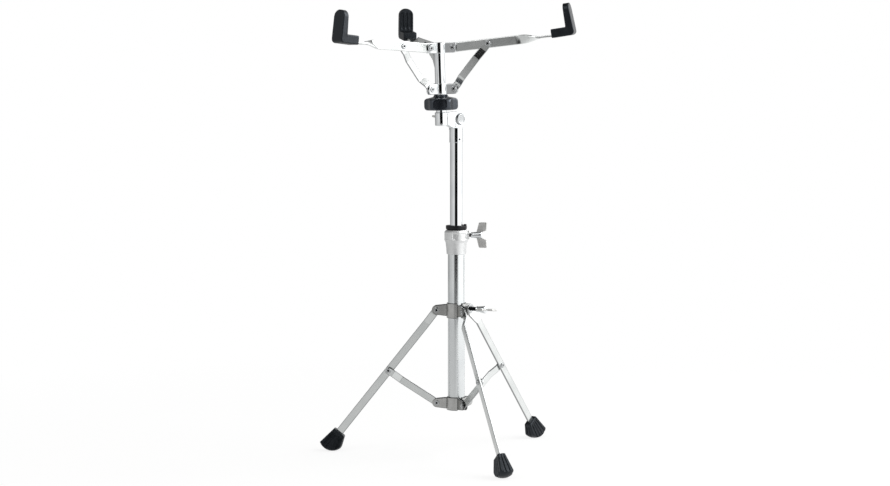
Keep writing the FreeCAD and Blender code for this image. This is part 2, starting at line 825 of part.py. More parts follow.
def hub(tall, pivot_r, gap, bore):
    # a ring on the post with three pairs of ears
    ring = cylinder("post_od / 2 + hub_wall", tall, (0, 0, f"-{tall} / 2"))
    root = "post_od / 2 + hub_wall / 2"
    outline = [
        (root, "-hub_ear_tall / 2"),
        (f"{pivot_r} + hub_ear_out", "-hub_ear_tall / 2"),
        (f"{pivot_r} + hub_ear_out", "hub_ear_tall / 2"),
        (root, "hub_ear_tall / 2"),
    ]
    out = num(pivot_r)
    ears = []
    for turn in armTurns:
        for low in (gap, f"-{gap} - plate_t"):
            body = newBody()
            plate = pad(body, sketch(body, "XZ_Plane", outline), "plate_t")
            rounded(
                body, plate, "hub_ear_round", lambda e: runsAlong(e, yAxis) and e.Vertexes[0].Point.x > out
            )
            put(body, (0, f"{low} + plate_t / 2", 0))
            ear = cut(body, cylinder("rivet_r", "3 * plate_t", (pivot_r, f"{low} - plate_t", 0), alongY))
            ear.Placement = about(zAxis, turn)
            ears.append(ear)
    return cut(fuse(ring, *ears), cylinder(bore, f"2 * {tall}", (0, 0, f"-{tall}")))


armGap = "(arm_t / 2 + face_gap)"
strutGap = "(strut_t / 2 + face_gap)"
upperFrame = basket * at(0, 0, num("upper_hub_z"))
lowerFrame = basket * at(0, 0, num("lower_hub_z"))
finish("upper_hub", hub("upper_hub_tall", "upper_pivot_r", armGap, "post_od / 2"), upperFrame)
lowerHub = hub("lower_hub_tall", "lower_pivot_r", strutGap, "post_od / 2 + run_gap")
finish("lower_hub", lowerHub, lowerFrame)
for name, gap, radius, frame in (
    ("upper_hub_rivets", armGap, "upper_pivot_r", upperFrame),
    ("lower_hub_rivets", strutGap, "lower_pivot_r", lowerFrame),
):
    rivets = [
        pin("rivet_r", f"-{gap} - plate_t", f"{gap} + plate_t", "head_r", "flat_head_tall", (radius, 0, 0))
        for turn in armTurns
    ]
    finish(name, group(rivets, armTurns), frame)

# Knob under the lower hub: a turned body with broad scallops, and its metal insert on the post
body = newBody()
revolve(
    body,
    sketch(
        body,
        "XZ_Plane",
        [
            ("insert_r", "0"),
            ("knob_r - 2 * knob_edge", "0"),
            ("knob_r - knob_edge / 2", "knob_edge"),
            ("knob_r", "knob_belly"),
            ("knob_r", "knob_tall - knob_crown - knob_belly"),
            ("knob_r - knob_edge / 2", "knob_tall - knob_crown - knob_edge"),
            ("knob_r - 2 * knob_edge", "knob_tall - knob_crown"),
            ("knob_neck_r + knob_shoulder", "knob_tall + knob_neck_tall / 3"),
            ("knob_neck_r", "knob_tall + knob_neck_tall"),
            ("insert_r", "knob_tall + knob_neck_tall"),
        ],
    ),
)
lobes = 6
scallops = []
for k in range(lobes):
    scallop = cylinder(
        "scallop_r", "2 * knob_tall", ("knob_r + scallop_r - scallop_deep", 0, "-knob_tall / 2")
    )
    turned = doc.addObject("Part::Compound", "Scallop")
    turned.Links = [scallop]
    turned.Placement = about(zAxis, 360.0 / lobes * k)
    scallops.append(turned)
knobFrame = basket * at(0, 0, num("knob_low")) * about(zAxis, num("knob_az - tilt_az"))
finish("knob", cut(body, *scallops), knobFrame)
insert = cut(
    cylinder("insert_r", "knob_tall + knob_neck_tall"),
    cylinder("post_od / 2 + run_gap", "2 * knob_tall", (0, 0, "-knob_tall / 2")),
)
finish("knob_insert", insert, knobFrame)


def armBar():
    # a bar on edge, a quarter twist, and a flat tip for the grip
    body = newBody()
    half = "arm_w / 2"
    thin = "arm_t / 2"
    side = [(f"-{half}", f"-{thin}"), ("arm_twist_from", f"-{thin}"), ("arm_twist_from", thin), (f"-{half}", thin)]
    flat = pad(body, sketch(body, "XY_Plane", side), "arm_w")
    low = num(f"-{half}") + tiny
    rounded(
        body, flat, f"{half} - end_flat", lambda e: runsAlong(e, yAxis) and e.Vertexes[0].Point.x < low
    )
    section = [(f"-{thin}", f"-{half}"), (thin, f"-{half}"), (thin, half), (f"-{thin}", half)]
    steps = 6
    outlines = []
    for i in range(steps + 1):
        spot = f"arm_twist_from + arm_twist_len * {i} / {steps}"
        outlines.append(sketch(body, "YZ_Plane", section, spot, num("arm_twist_turn") * i / steps))
    twist = body.newObject("PartDesign::AdditiveLoft", "Twist")
    twist.Profile = outlines[0]
    twist.Sections = outlines[1:]
    tip = [("arm_twist_to", f"-{half}"), ("arm_len", f"-{half}"), ("arm_len", half), ("arm_twist_to", half)]
    pad(body, sketch(body, "XY_Plane", tip), "arm_t")
    return body


def gripBlock():
    # an L of rubber: a shelf over the arm's tip and an upright pad with grooves on its inner face
    body = newBody()
    shelf = [
        ("grip_from", "grip_low"),
        ("grip_pad_out - grip_heel_r", "grip_low"),
        ("grip_pad_out - grip_heel_r", "grip_shelf"),
        ("grip_from", "grip_shelf"),
    ]
    pad(body, sketch(body, "XZ_Plane", shelf), "grip_sleeve_w")
    padSide = [
        ("grip_pad_in", "grip_low"),
        ("grip_pad_out", "grip_low"),
        ("grip_tip_out", "grip_top"),
        ("grip_pad_in", "grip_top"),
    ]
    last = pad(body, sketch(body, "XZ_Plane", padSide), "grip_w")
    high = num("grip_top") - tiny
    last = rounded(
        body, last, "grip_top_r", lambda e: runsAlong(e, xAxis) and e.Vertexes[0].Point.z > high
    )
    out = num("grip_pad_out") - tiny
    last = rounded(
        body, last, "grip_heel_r", lambda e: runsAlong(e, yAxis) and e.Vertexes[0].Point.x > out
    )
    grooves = [
        cylinder(
            "grip_groove_r",
            "grip_top - grip_shelf - grip_groove_low - grip_groove_end",
            ("grip_pad_in - grip_groove_out", f"grip_groove_pitch * {k}", "grip_shelf + grip_groove_low"),
        )
        for k in (-1, 0, 1)
    ]
    pocket = block(
        "arm_len - grip_from + arm_w", "arm_w", "arm_t", ("grip_from - arm_w", "-arm_w / 2", "-arm_t / 2")
    )
    rubber = cut(body, *grooves)
    hold = at(num("grip_from"), 0, 0)
    rubber.Placement = hold * about(yAxis, -num("grip_lean")) * hold.inverse()
    return cut(rubber, pocket)


strutMid = "-strut_side"
for k, turn in enumerate(armTurns):
    swing = upperFrame * about(zAxis, turn) * at(num("upper_pivot_r"), 0, 0) * about(yAxis, -num("arm_rise"))
    arm = cut(armBar(), eye("rivet_r + run_gap", "0"), eye("rivet_r", "arm_mid"))
    finish(f"arm_{k + 1}", arm, swing)
    finish(f"arm_rivet_{k + 1}", stub("-arm_t / 2", "arm_t / 2", 1, "arm_mid"), swing)
    finish(f"grip_{k + 1}", gripBlock(), swing)

    lean = math.degrees(math.atan2(num("strut_lift"), num("strut_run")))
    base = lowerFrame * about(zAxis, turn) * at(num("lower_pivot_r"), 0, 0) * about(yAxis, -lean)
    path = [
        ("-strut_w / 2", "0"),
        ("strut_bend_from", "0"),
        ("strut_bend_to", "-strut_bow"),
        ("strut_crank_from", "-strut_bow"),
        ("strut_crank_to", strutMid),
        ("strut_len + strut_w / 2", strutMid),
    ]
    strut = cut(
        bar(path, "strut_t", "strut_w"), eye("rivet_r + run_gap", "0"), eye("rivet_r", "strut_len")
    )
    finish(f"strut_{k + 1}", strut, base)
    head = stub(f"{strutMid} - strut_t / 2", f"{strutMid} + strut_t / 2", -1, "strut_len")
    finish(f"strut_rivet_{k + 1}", head, base)

doc.recompute()
for item in doc.Objects:
    if "Invalid" in item.State or "Error" in item.State:
        raise RuntimeError(f"{item.Label} did not build")
os.makedirs("parts", exist_ok=True)
for name, item in parts.items():
    if item.Shape.isNull() or not item.Shape.isValid():
        raise RuntimeError(f"{name} has no valid shape")
    item.Shape.exportStep(f"parts/{name}.step")
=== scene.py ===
import json
import bmesh
import bpy
import numpy as np
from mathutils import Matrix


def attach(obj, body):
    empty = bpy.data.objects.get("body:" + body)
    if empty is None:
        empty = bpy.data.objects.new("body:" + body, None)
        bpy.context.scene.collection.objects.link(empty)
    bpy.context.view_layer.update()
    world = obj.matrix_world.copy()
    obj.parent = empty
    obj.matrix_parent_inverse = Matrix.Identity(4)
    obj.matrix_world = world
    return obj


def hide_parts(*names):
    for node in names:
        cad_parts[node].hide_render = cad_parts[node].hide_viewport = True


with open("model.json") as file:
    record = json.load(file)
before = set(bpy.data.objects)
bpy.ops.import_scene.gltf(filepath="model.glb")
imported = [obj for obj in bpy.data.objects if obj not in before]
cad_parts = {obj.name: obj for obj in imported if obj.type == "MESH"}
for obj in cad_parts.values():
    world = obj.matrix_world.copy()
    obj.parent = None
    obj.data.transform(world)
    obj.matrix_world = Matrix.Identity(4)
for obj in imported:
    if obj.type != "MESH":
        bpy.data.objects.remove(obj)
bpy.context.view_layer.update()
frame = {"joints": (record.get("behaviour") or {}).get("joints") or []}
jointOf = {joint["name"]: joint for joint in frame["joints"]}


# places: 4 by 4 matrices in millimetres
def shift(x, y, z):
    place = np.eye(4)
    place[:3, 3] = x, y, z
    return place


def turn(axis, degrees):
    # a turn about one axis of the frame, by the right-hand rule
    c, s = np.cos(np.radians(degrees)), np.sin(np.radians(degrees))
    i, j = {"x": (1, 2), "y": (2, 0), "z": (0, 1)}[axis]
    place = np.eye(4)
    place[[i, i, j, j], [i, j, i, j]] = c, -s, s, c
    return place


def pivot(name, side, post):
    # the frame of a joint: y along its axis, z along the post, x away from the post
    spot = np.array(jointOf[name]["pos_m"]) * 1000
    y = side * np.array(jointOf[name]["axis"])
    x = np.cross(y, post) / np.linalg.norm(np.cross(y, post))
    place = np.eye(4)
    place[:3, :] = np.stack([x, y, np.cross(x, y), spot], 1)
    return place


def moved(points, place):
    # points carried to a place
    return points @ place[:3, :3].T + place[:3, 3]


def columns(*values):
    # coordinates side by side; one that is the same for every point may be a plain number
    return np.stack(np.broadcast_arrays(*values), 1)


def pick(settings, names):
    # several settings by name
    return [settings[name] for name in names.split()]


lengthways = np.array([1.0, 0.0, 0.0])
crossways = np.array([0.0, 1.0, 0.0])
upright = np.array([0.0, 0.0, 1.0])
postAxis = np.array(jointOf["basket_slide"]["axis"])
mastSpot = np.array(jointOf["mast_swivel"]["pos_m"]) * 1000
mast = shift(mastSpot[0], mastSpot[1], 0)
alongX = turn("y", 90)  # carries z to x
alongY = turn("x", -90)  # carries z to y
sides = (1, 2, 3)


# surfaces: each returns points in millimetres, faces, the place of each face corner along and around
# the shape, and for each point how much painted edge shade it takes
def shell(grid, loop=False, edgeShadeShare=0.0):
    # rows of a grid become rings of four-sided faces; open rows end in a cap unless they shrink to a pole
    rows, cols = grid.shape[:2]
    index = np.arange(rows * cols).reshape(rows, cols)
    here = index if loop else index[:-1]
    ahead = np.roll(index, -1, 0) if loop else index[1:]
    quads = np.stack([here, np.roll(here, -1, 1), np.roll(ahead, -1, 1), ahead], -1).reshape(-1, 4)
    stepAlong = np.linalg.norm(np.diff(grid, axis=0), axis=2).mean(1)
    stepRound = np.linalg.norm(grid - np.roll(grid, -1, 1), axis=2).max(0)
    along = np.concatenate([[0], np.cumsum(stepAlong), [stepAlong.sum()]])
    around = np.concatenate([[0], np.cumsum(stepRound)])
    u, v = np.meshgrid(np.arange(len(here)), np.arange(cols), indexing="ij")
    corners = [(along[u + a], around[v + b]) for a, b in ((0, 0), (0, 1), (1, 1), (1, 0))]
    charts = np.stack([np.stack(c, -1) for c in corners], 2).reshape(-1, 2)
    faces = quads.tolist()
    if not loop:
        for ring, spread in ((index[0, ::-1], grid[0]), (index[-1], grid[-1])):
            if np.ptp(spread, axis=0).max() > 1e-6:
                faces.append(ring.tolist())
                charts = np.concatenate([charts, np.zeros((cols, 2))])
    return grid.reshape(-1, 3), faces, charts, np.broadcast_to(edgeShadeShare, (rows, cols)).ravel()


def rounded(corners, radius, steps=5, closed=False):
    # a line of corners, each exchanged for an arc of the radius that touches both of its runs; an arc takes
    # less than half of a run, and a corner that is nearly straight stays
    mostOfRun, nearlyStraight = 0.48, 1.565
    spots = np.asarray(corners, float)
    count = len(spots)
    runs = []
    for i in range(count):
        if not closed and i in (0, count - 1):
            runs.append(spots[i:i + 1])
            continue
        back, ahead = spots[i - 1] - spots[i], spots[(i + 1) % count] - spots[i]
        room = mostOfRun * min(np.linalg.norm(back), np.linalg.norm(ahead))
        back, ahead = back / np.linalg.norm(back), ahead / np.linalg.norm(ahead)
        half = np.arccos(np.clip(back @ ahead, -1, 1)) / 2
        if half > nearlyStraight:
            runs.append(spots[i:i + 1])
            continue
        reach = min(radius / np.tan(half), room)
        centre = spots[i] + (back + ahead) / np.linalg.norm(back + ahead) * reach / np.cos(half)
        first, last = spots[i] + back * reach - centre, spots[i] + ahead * reach - centre
        sweep = np.pi - 2 * half
        share = np.linspace(0, 1, steps + 1)[:, None]
        arc = np.sin((1 - share) * sweep) * first + np.sin(share * sweep) * last
        runs.append(centre + arc / np.sin(sweep))
    return np.concatenate(runs)


def ringLine(inner, outer, low, high):
    # the profile of a plain ring, or of a rod where the inner radius is nothing
    return [(inner, low), (outer, low), (outer, high), (inner, high)]


def roundOff(depth, radius):
    # how far a rounded end draws back, at each depth past the start of its arc
    return radius - np.sqrt((radius ** 2 - depth.clip(0) ** 2).clip(0))


def runOf(line):
    # how far along the line each of its points lies
    return np.concatenate([[0], np.cumsum(np.linalg.norm(np.diff(line, axis=0), axis=1))])


def acrossOf(centres, *spots):
    # the level direction across a path at each of its points
    lead = np.gradient(centres, *spots, axis=0)
    lead /= np.linalg.norm(lead, axis=1, keepdims=True)
    return columns(-lead[:, 1], lead[:, 0], 0)


def quarter(count):
    # angles over a quarter of a turn
    return np.linspace(0, np.pi / 2, count)


def turned(profile, place, steps=72, loop=False, wave=None):
    # a profile of radius and height goes once round z; a wave may change the radius with height and angle
    angle = np.linspace(0, 2 * np.pi, steps, endpoint=False)[None, :]
    radius, height = profile[:, :1] + 0 * angle, profile[:, 1:] + 0 * angle
    if wave is not None:
        radius = wave(radius, height, angle + 0 * radius)
    grid = np.stack([radius * np.cos(angle), radius * np.sin(angle), height], -1)
    return shell(moved(grid, place), loop)


def threaded(size, low, high, place):
    # a screw: the radius falls and rises once for each pitch of height or turn of angle
    pitch, ringsPerPitch = size["pitch"], 8
    height = np.linspace(low, high, int((high - low) / pitch * ringsPerPitch) + 2)
    profile = columns(size["boltR"], height)

    def groove(r, z, a):
        return r - size["threadDeep"] * np.abs(2 * ((z / pitch - a / (2 * np.pi)) % 1) - 1)

    return turned(profile, place, 36, wave=groove)


def section(halfA, halfB, edge, corner=4, flatA=1, flatB=1):
    # a rounded rectangle for each station: flats at a and b, and quarter circles of the edge radius between
    mostOfHalf, flatEnd = 0.98, 0.97
    halfA, halfB, edge = np.broadcast_arrays(*[np.asarray(x, float) for x in (halfA, halfB, edge)])
    edge = np.minimum(edge, mostOfHalf * np.minimum(halfA, halfB))
    arc = quarter(corner + 1)
    rows = []
    for k, flat in enumerate((flatB, flatA, flatB, flatA)):
        c, s = np.round([np.cos(k * np.pi / 2), np.sin(k * np.pi / 2)])
        q = np.linspace(-flatEnd, flatEnd, flat + 1)
        rows.append(columns(c - s * q, s + c * q, c, s, k, q))
        a = arc + k * np.pi / 2
        rows.append(columns(c - s, s + c, np.cos(a), np.sin(a), -1, 0))
    ca, cb, ra, rb, flatNo, q = np.concatenate(rows).T
    a = ca * (halfA - edge)[:, None] + ra * edge[:, None]
    b = cb * (halfB - edge)[:, None] + rb * edge[:, None]
    return a, b, flatNo, q


def carry(centres, axisA, axisB, a, b):
    # stands each station's outline at its centre, on its two axes
    axisA, axisB = np.broadcast_to(axisA, centres.shape), np.broadcast_to(axisB, centres.shape)
    return centres[:, None] + a[..., None] * axisA[:, None] + b[..., None] * axisB[:, None]


def bar(centres, axisA, axisB, halfA, halfB, edge, place):
    # a plain bar through the centres, with a rounded rectangle of its own half widths at each
    a, b, _, _ = section(halfA, halfB, edge)
    return shell(moved(carry(centres, axisA, axisB, a, b), place))


def strap(path, place, size):
    # a flat bar along a path in xy that bends in arcs; a round end narrows as the chords of a circle do
    line = rounded(path, size["bend"], 8)
    run = runOf(line)
    end, total = size["wide"] / 2, run[-1]
    tip = end * (1 - np.cos(quarter(10)))
    first, last = size["roundEnds"]
    keep = run[(run > end * first) & (run < total - end * last)]
    spots = np.unique(np.round(np.concatenate([[0, total], keep, tip * first, total - tip * last]), 3))
    x, y = np.interp(spots, run, line[:, 0]), np.interp(spots, run, line[:, 1])
    centres = columns(x, y, 0)
    across = acrossOf(centres, spots)
    inward = np.minimum(np.where(first, spots, end), np.where(last, total - spots, end)).clip(0, end)
    halfWide = np.sqrt(end ** 2 - (end - inward) ** 2).clip(0.05)
    a, b, flatNo, _ = section(size["thick"] / 2, halfWide, size["edge"])
    # the narrow side faces and rounded corners take painted shade
    return shell(moved(carry(centres, across, upright, a, b), place), edgeShadeShare=flatNo % 2)


def rivet(low, high, place, size, heads=(1, 1)):
    # a turned rivet along y: a shank, and on each headed end a flat head with a dimple in the middle
    head, tall, shank, dimple = pick(size, "headR headTall shankR dimple")
    sunk = size["dimpleFloor"] * tall
    crown = [(head, 0), (head - size["bevel"] * tall, tall), (size["flare"] * dimple, tall),
             (dimple, sunk), (0, sunk)]
    bottom = [(r, low - h) for r, h in reversed(crown)] if heads[0] else [(0, low)]
    top = [(r, high + h) for r, h in crown] if heads[1] else [(0, high)]
    line = rounded(bottom + [(shank, low), (shank, high)] + top, size["edge"], 4)
    return turned(line, place @ alongY, 40)


def rivetDimpleShade(low, high, place, size, heads=(1, 1)):
    # painted shade at the bottom of each dimple: a dark shallow dome that fills its floor
    radius = size["coreR"]
    under, brim, crest = [share * size["headTall"] for share in size["core"]]
    dome = [(0, under), (radius, under), (radius, brim), (0, crest)]
    ends = [[(r, low - h) for r, h in dome]] if heads[0] else []
    ends += [[(r, high + h) for r, h in dome]] if heads[1] else []
    return [turned(rounded(end, size["coreEdge"], 3), place @ alongY, 24) for end in ends]


def placed(name, data):
    # an object at the origin, linked into the scene
    made = bpy.data.objects.new(name, data)
    bpy.context.scene.collection.objects.link(made)
    return made


def piece(name, shells, body, nodes, finish, sharp=38):
    # joins shells to one mesh in metres, closes its poles and turns its faces outwards
    points, charts, cuts = (np.concatenate([s[i] for s in shells]) for i in (0, 2, 3))
    starts = np.cumsum([0] + [len(s[0]) for s in shells])
    faces = [[i + start for i in face] for s, start in zip(shells, starts) for face in s[1]]
    mesh = bpy.data.meshes.new(name)
    mesh.from_pydata((points / 1000).tolist(), [], faces)
    chart = mesh.uv_layers.new(name="lengthwise")
    chart.uv.foreach_set("vector", (charts / 1000).astype(np.float32).ravel())
    # each point's share of painted edge shade goes on the mesh, for the surfaces to darken
    mark = mesh.attributes.new("shearedEdge", "FLOAT", "POINT")
    mark.data.foreach_set("value", cuts.astype(np.float32))
    work = bmesh.new()
    work.from_mesh(mesh)
    bmesh.ops.remove_doubles(work, verts=work.verts, dist=1e-7)
    bmesh.ops.recalc_face_normals(work, faces=work.faces)
    work.to_mesh(mesh)
    work.free()
    mesh.polygons.foreach_set("use_smooth", np.ones(len(mesh.polygons), bool))
    mesh.set_sharp_from_angle(angle=np.radians(sharp))
    mesh.materials.append(finish)
    made = placed(name, mesh)
    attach(made, body)
    if nodes:
        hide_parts(*nodes)


# materials
def colour(text):
    # an sRGB hex value as linear red, green, blue and alpha
    value = np.array([int(text[i:i + 2], 16) for i in (1, 3, 5)]) / 255
    return (*np.where(value <= 0.04045, value / 12.92, ((value + 0.055) / 1.055) ** 2.4), 1.0)


def addNode(tree, kind, settings, *links):
    # one node with its settings, its socket values and the links into it; a source may be a socket, or a node
    # that gives its first output
    node = tree.nodes.new("ShaderNode" + kind)
    for key, value in settings.items():
        if isinstance(key, str) and hasattr(node, key):
            setattr(node, key, value)
        else:
            node.inputs[key].default_value = value
    for source, socket in links:
        tree.links.new(source.outputs[0] if hasattr(source, "outputs") else source, node.inputs[socket])
    return node


def spans(source, target=(0.0, 1.0)):
    # the settings of a node that maps one span of values to another
    return {"From Min": source[0], "From Max": source[1], "To Min": target[0], "To Max": target[1]}


def emptyTree(owner):
    # a node tree with nothing in it yet
    owner.use_nodes = True
    owner.node_tree.nodes.clear()
    return owner.node_tree


def surface(name, **look):
    # a surface whose colour, roughness and height follow a fine grain and a broad mottle of real size;
    # edges and bends marked on the mesh take a darker colour, which is painted shade
    mottleSpan, grainShare, roughSpan = (0.3, 0.7), 0.6, (0.5, 1.1)
    made = bpy.data.materials.new(name)
    tree = emptyTree(made)
    spot = addNode(tree, "TexCoord", {})
    source, stretch = spot.outputs["Object"], (1, 1, 1)
    if look.get("drawn"):
        source, stretch = spot.outputs["UV"], look["drawn"]
    lay = addNode(tree, "Mapping", {"Scale": stretch}, (source, "Vector"))
    grain = addNode(tree, "TexNoise", {"Scale": 1000 / look["grainMm"], "Detail": 3.0, "Roughness": 0.55},
                    (lay, "Vector"))
    mottle = addNode(tree, "TexNoise", {"Scale": 1000 / look["mottleMm"], "Detail": 2.0},
                     (spot.outputs["Object"], "Vector"))
    tint = addNode(tree, "ValToRGB", {}, (mottle, "Fac"))
    for stop, position, shade in zip(tint.color_ramp.elements, mottleSpan, ("dark", "light")):
        stop.position, stop.color = position, colour(look[shade])
    both = addNode(tree, "Math", {"operation": "MULTIPLY_ADD", 1: grainShare}, (grain, 0), (mottle, 2))
    rough = addNode(tree, "MapRange", spans(roughSpan, look["rough"]), (both, "Value"))
    heightMm, share = look["relief"]
    relief = addNode(tree, "Bump", {"Strength": share, "Distance": heightMm / 1000}, (grain, "Height"))
    # painted shade: marked edges and bends mix towards the darker edge colour
    edge = addNode(tree, "Attribute", {"attribute_name": "shearedEdge"})
    edgeShadeMix = addNode(
        tree, "Mix", {"data_type": "RGBA", 7: colour(look.get("sheared", look["dark"]))},
        (edge.outputs["Fac"], 0), (tint, 6),
    )
    shader = addNode(
        tree, "BsdfPrincipled", {"Metallic": look.get("metallic", 1.0), **look.get("sockets", {})},
        (edgeShadeMix.outputs[2], "Base Color"), (rough, "Roughness"), (relief, "Normal"),
    )
    addNode(tree, "OutputMaterial", {}, (shader, "Surface"))
    return made


# bright chrome over buffed drawn tube: a clear mirror with the faintest haze
mirrorChrome = surface(
    "brightChromeTube", dark="#e2e5e7", light="#eff1f2", rough=(0.05, 0.09), grainMm=3.0, mottleMm=25,
    relief=(0.01, 0.1),
)
# the wide tube is plated over a plainer polish: its reflections are soft bands, and its draw lines are
# drawn coarse to show
softChrome = surface(
    "satinChromeTube", dark="#d8dbdc", light="#e3e6e6", rough=(0.20, 0.26), drawn=(0.02, 1, 1), grainMm=2.5,
    mottleMm=30, relief=(0.01, 0.1),
)
# rolled strap under chrome: a satin mirror with faint lines along it, drawn coarser than the mill leaves
# them, and painted shade that greys its edges
strapChrome = surface(
    "rolledChromeStrap", dark="#dadddc", light="#e6e8e7", sheared="#a4a6a6", rough=(0.13, 0.20),
    drawn=(0.02, 1, 1), grainMm=2.5, mottleMm=20, relief=(0.015, 0.12),
)
# chrome over a die casting: bright, with the soft ripple of the cast skin
castChrome = surface(
    "chromeOverCasting", dark="#e0e3e4", light="#eef0f1", rough=(0.07, 0.12), grainMm=4.0, mottleMm=12,
    relief=(0.02, 0.15),
)
# the clamp casting is blasted before plating: a soft pale metal without clear reflections
blasted = surface(
    "blastedChromeCasting", dark="#dcdddd", light="#e8e9e9", rough=(0.44, 0.54), grainMm=1.8, mottleMm=9,
    relief=(0.04, 0.25),
)
# satin nickel on a stamping: a grey metal with soft reflections, and painted shade that darkens its edges and
# bends
nickel = surface(
    "satinNickelStamping", dark="#b2b2b0", light="#c3c3c1", sheared="#454646", rough=(0.16, 0.24),
    grainMm=1.6, mottleMm=9, relief=(0.02, 0.2),
)
# tumbled nickel on a zinc casting: pale, soft and a little uneven
wingMetal = surface(
    "tumbledNickelCasting", dark="#c6c6c4", light="#d8d8d6", rough=(0.46, 0.58), grainMm=1.8, mottleMm=7,
    relief=(0.04, 0.25),
)
# bright zinc on rivets and nuts: a grey mirror, slightly blurred
zinc = surface(
    "brightZincFastener", dark="#b4b6b7", light="#c9cbcc", rough=(0.16, 0.26), grainMm=1.2, mottleMm=4,
    relief=(0.02, 0.15),
)
# blackened steel thread: dark, with an oily shine on the crests; its colour also paints the shade in rivet
# dimples
blackenedSteelAndShade = surface(
    "blackenedSteelThread", dark="#17181a", light="#242527", rough=(0.28, 0.42), grainMm=0.8, mottleMm=3,
    relief=(0.02, 0.2),
)
# moulded rubber: nearly black, broad soft highlights, a fine matt grain
rubber = surface(
    "mouldedBlackRubber", dark="#0a0c0e", light="#111416", metallic=0.0, rough=(0.33, 0.43), grainMm=1.4,
    mottleMm=8, relief=(0.03, 0.25),
    sockets={"Specular IOR Level": 0.36, "Specular Tint": colour("#e6f1ff")},
)
# moulded nylon: black with a duller, waxy shine
nylon = surface(
    "mouldedBlackNylon", dark="#111214", light="#18191b", metallic=0.0, rough=(0.32, 0.42), grainMm=1.2,
    mottleMm=6, relief=(0.02, 0.2), sockets={"Specular IOR Level": 0.25},
)
# glossy moulding: deep black with a cool shine and a slight ripple
gloss = surface(
    "glossyBlackMoulding", dark="#07090d", light="#0c0f15", metallic=0.0, rough=(0.24, 0.32), grainMm=4.0,
    mottleMm=11, relief=(0.03, 0.15),
    sockets={"Specular IOR Level": 0.85, "Specular Tint": colour("#e6f1ff")},
)
print("materials made")


def riveted(name, rivets, body, node):
    # a group of rivets on one body, with the painted shade in their dimples as a piece of their own
    piece(name, [rivet(*each) for each in rivets], body, [node], zinc)
    # dark domes in the dimples paint their shade
    dimpleShades = sum([rivetDimpleShade(*each) for each in rivets], [])
    piece(f"{name}Cores", dimpleShades, body, [], blackenedSteelAndShade)


# tubes and post
tube = dict(outer=12.7, inner=11.1, low=71.8, top=339.3, lip=0.5)
upperTube = dict(outer=9.525, inner=8.025, low=186.8, top=488.8, lip=0.4)
for name, body, node, size, finish in (
    ("baseTube", "base", "base_tube", tube, softChrome),
    ("upperTube", "upper_mast", "upper_tube", upperTube, mirrorChrome),
):
    wall = rounded(ringLine(size["inner"], size["outer"], size["low"], size["top"]), size["lip"], 4, True)
    piece(name, [turned(wall, mast, 96, True)], body, [node], finish)
post = dict(radius=7.95, low=-6.0, top=113.5, edge=0.9, off=29.5)
tilt = pivot("basket_tilt", 1, postAxis)
basket = tilt @ shift(post["off"], 0, 0)
rod = rounded(ringLine(0, post["radius"], post["low"], post["top"]), post["edge"])
piece("basketPost", [turned(rod, basket, 80)], "basket", ["basket_post"], mirrorChrome)
print("tubes made")

# legs and braces
leg = dict(wide=11.6, thick=3.0, edge=0.9, bend=7.0, roundEnds=(1, 0), angle=38.4, side=7.0, bendFrom=10.5,
           bendTo=25.0, length=262.5, mid=120.3)
brace = dict(wide=11.0, thick=2.5, edge=0.8, bend=7.0, roundEnds=(1, 1), side=4.0, bendBack=24.0, flat=9.0)
# a rivet; its last three sizes shape the dark dome that paints shade in each dimple
fastener = dict(headR=4.4, headTall=1.8, shankR=2.5, dimple=1.25, dimpleFloor=0.4, bevel=0.5, flare=1.3,
                edge=0.45, coreR=1.1875, core=(0.25, 0.55, 0.68), coreEdge=0.2)
flatFastener = dict(fastener, headTall=1.3)


def member(label, k, made, spot, size, heads):
    # one strap of a linkage, with the half of a rivet that it carries
    body, low = f"{label}_{k}", -size["side"] - size["thick"] / 2
    piece(f"{label}Strap{k}", [made], body, [body], strapChrome)
    stub = (low, low + size["thick"], spot, fastener, heads)
    riveted(f"{label}Rivet{k}", [stub], body, f"{label}_rivet_{k}")


def reachFrom(foot, spot):
    # turns a pivot's frame so that its x runs to a spot, and says how far away the spot is
    run, _, rise, _ = np.linalg.inv(foot) @ spot[:, 3]
    return foot @ turn("y", -np.degrees(np.arctan2(rise, run))), np.hypot(run, rise)


legPlaces = {}
for k in sides:
    legPlaces[k] = pivot(f"leg_{k}_fold", 1, upright) @ turn("y", 90 - leg["angle"])
    path = [(-leg["wide"] / 2, 0), (leg["bendFrom"], 0), (leg["bendTo"], -leg["side"]),
            (leg["length"], -leg["side"])]
    spot = legPlaces[k] @ shift(leg["mid"], 0, 0)
    member("leg", k, strap(path, legPlaces[k], leg), spot, leg, (1, 0))
    place, length = reachFrom(pivot(f"brace_{k}_fold", -1, upright), spot)
    path = [(-brace["wide"] / 2, 0), (length - brace["bendBack"], 0),
            (length - brace["flat"], -brace["side"]), (length + brace["wide"] / 2, -brace["side"])]
    member("brace", k, strap(path, place, brace), place @ shift(length, 0, 0), brace, (0, 1))
print("legs and braces made")


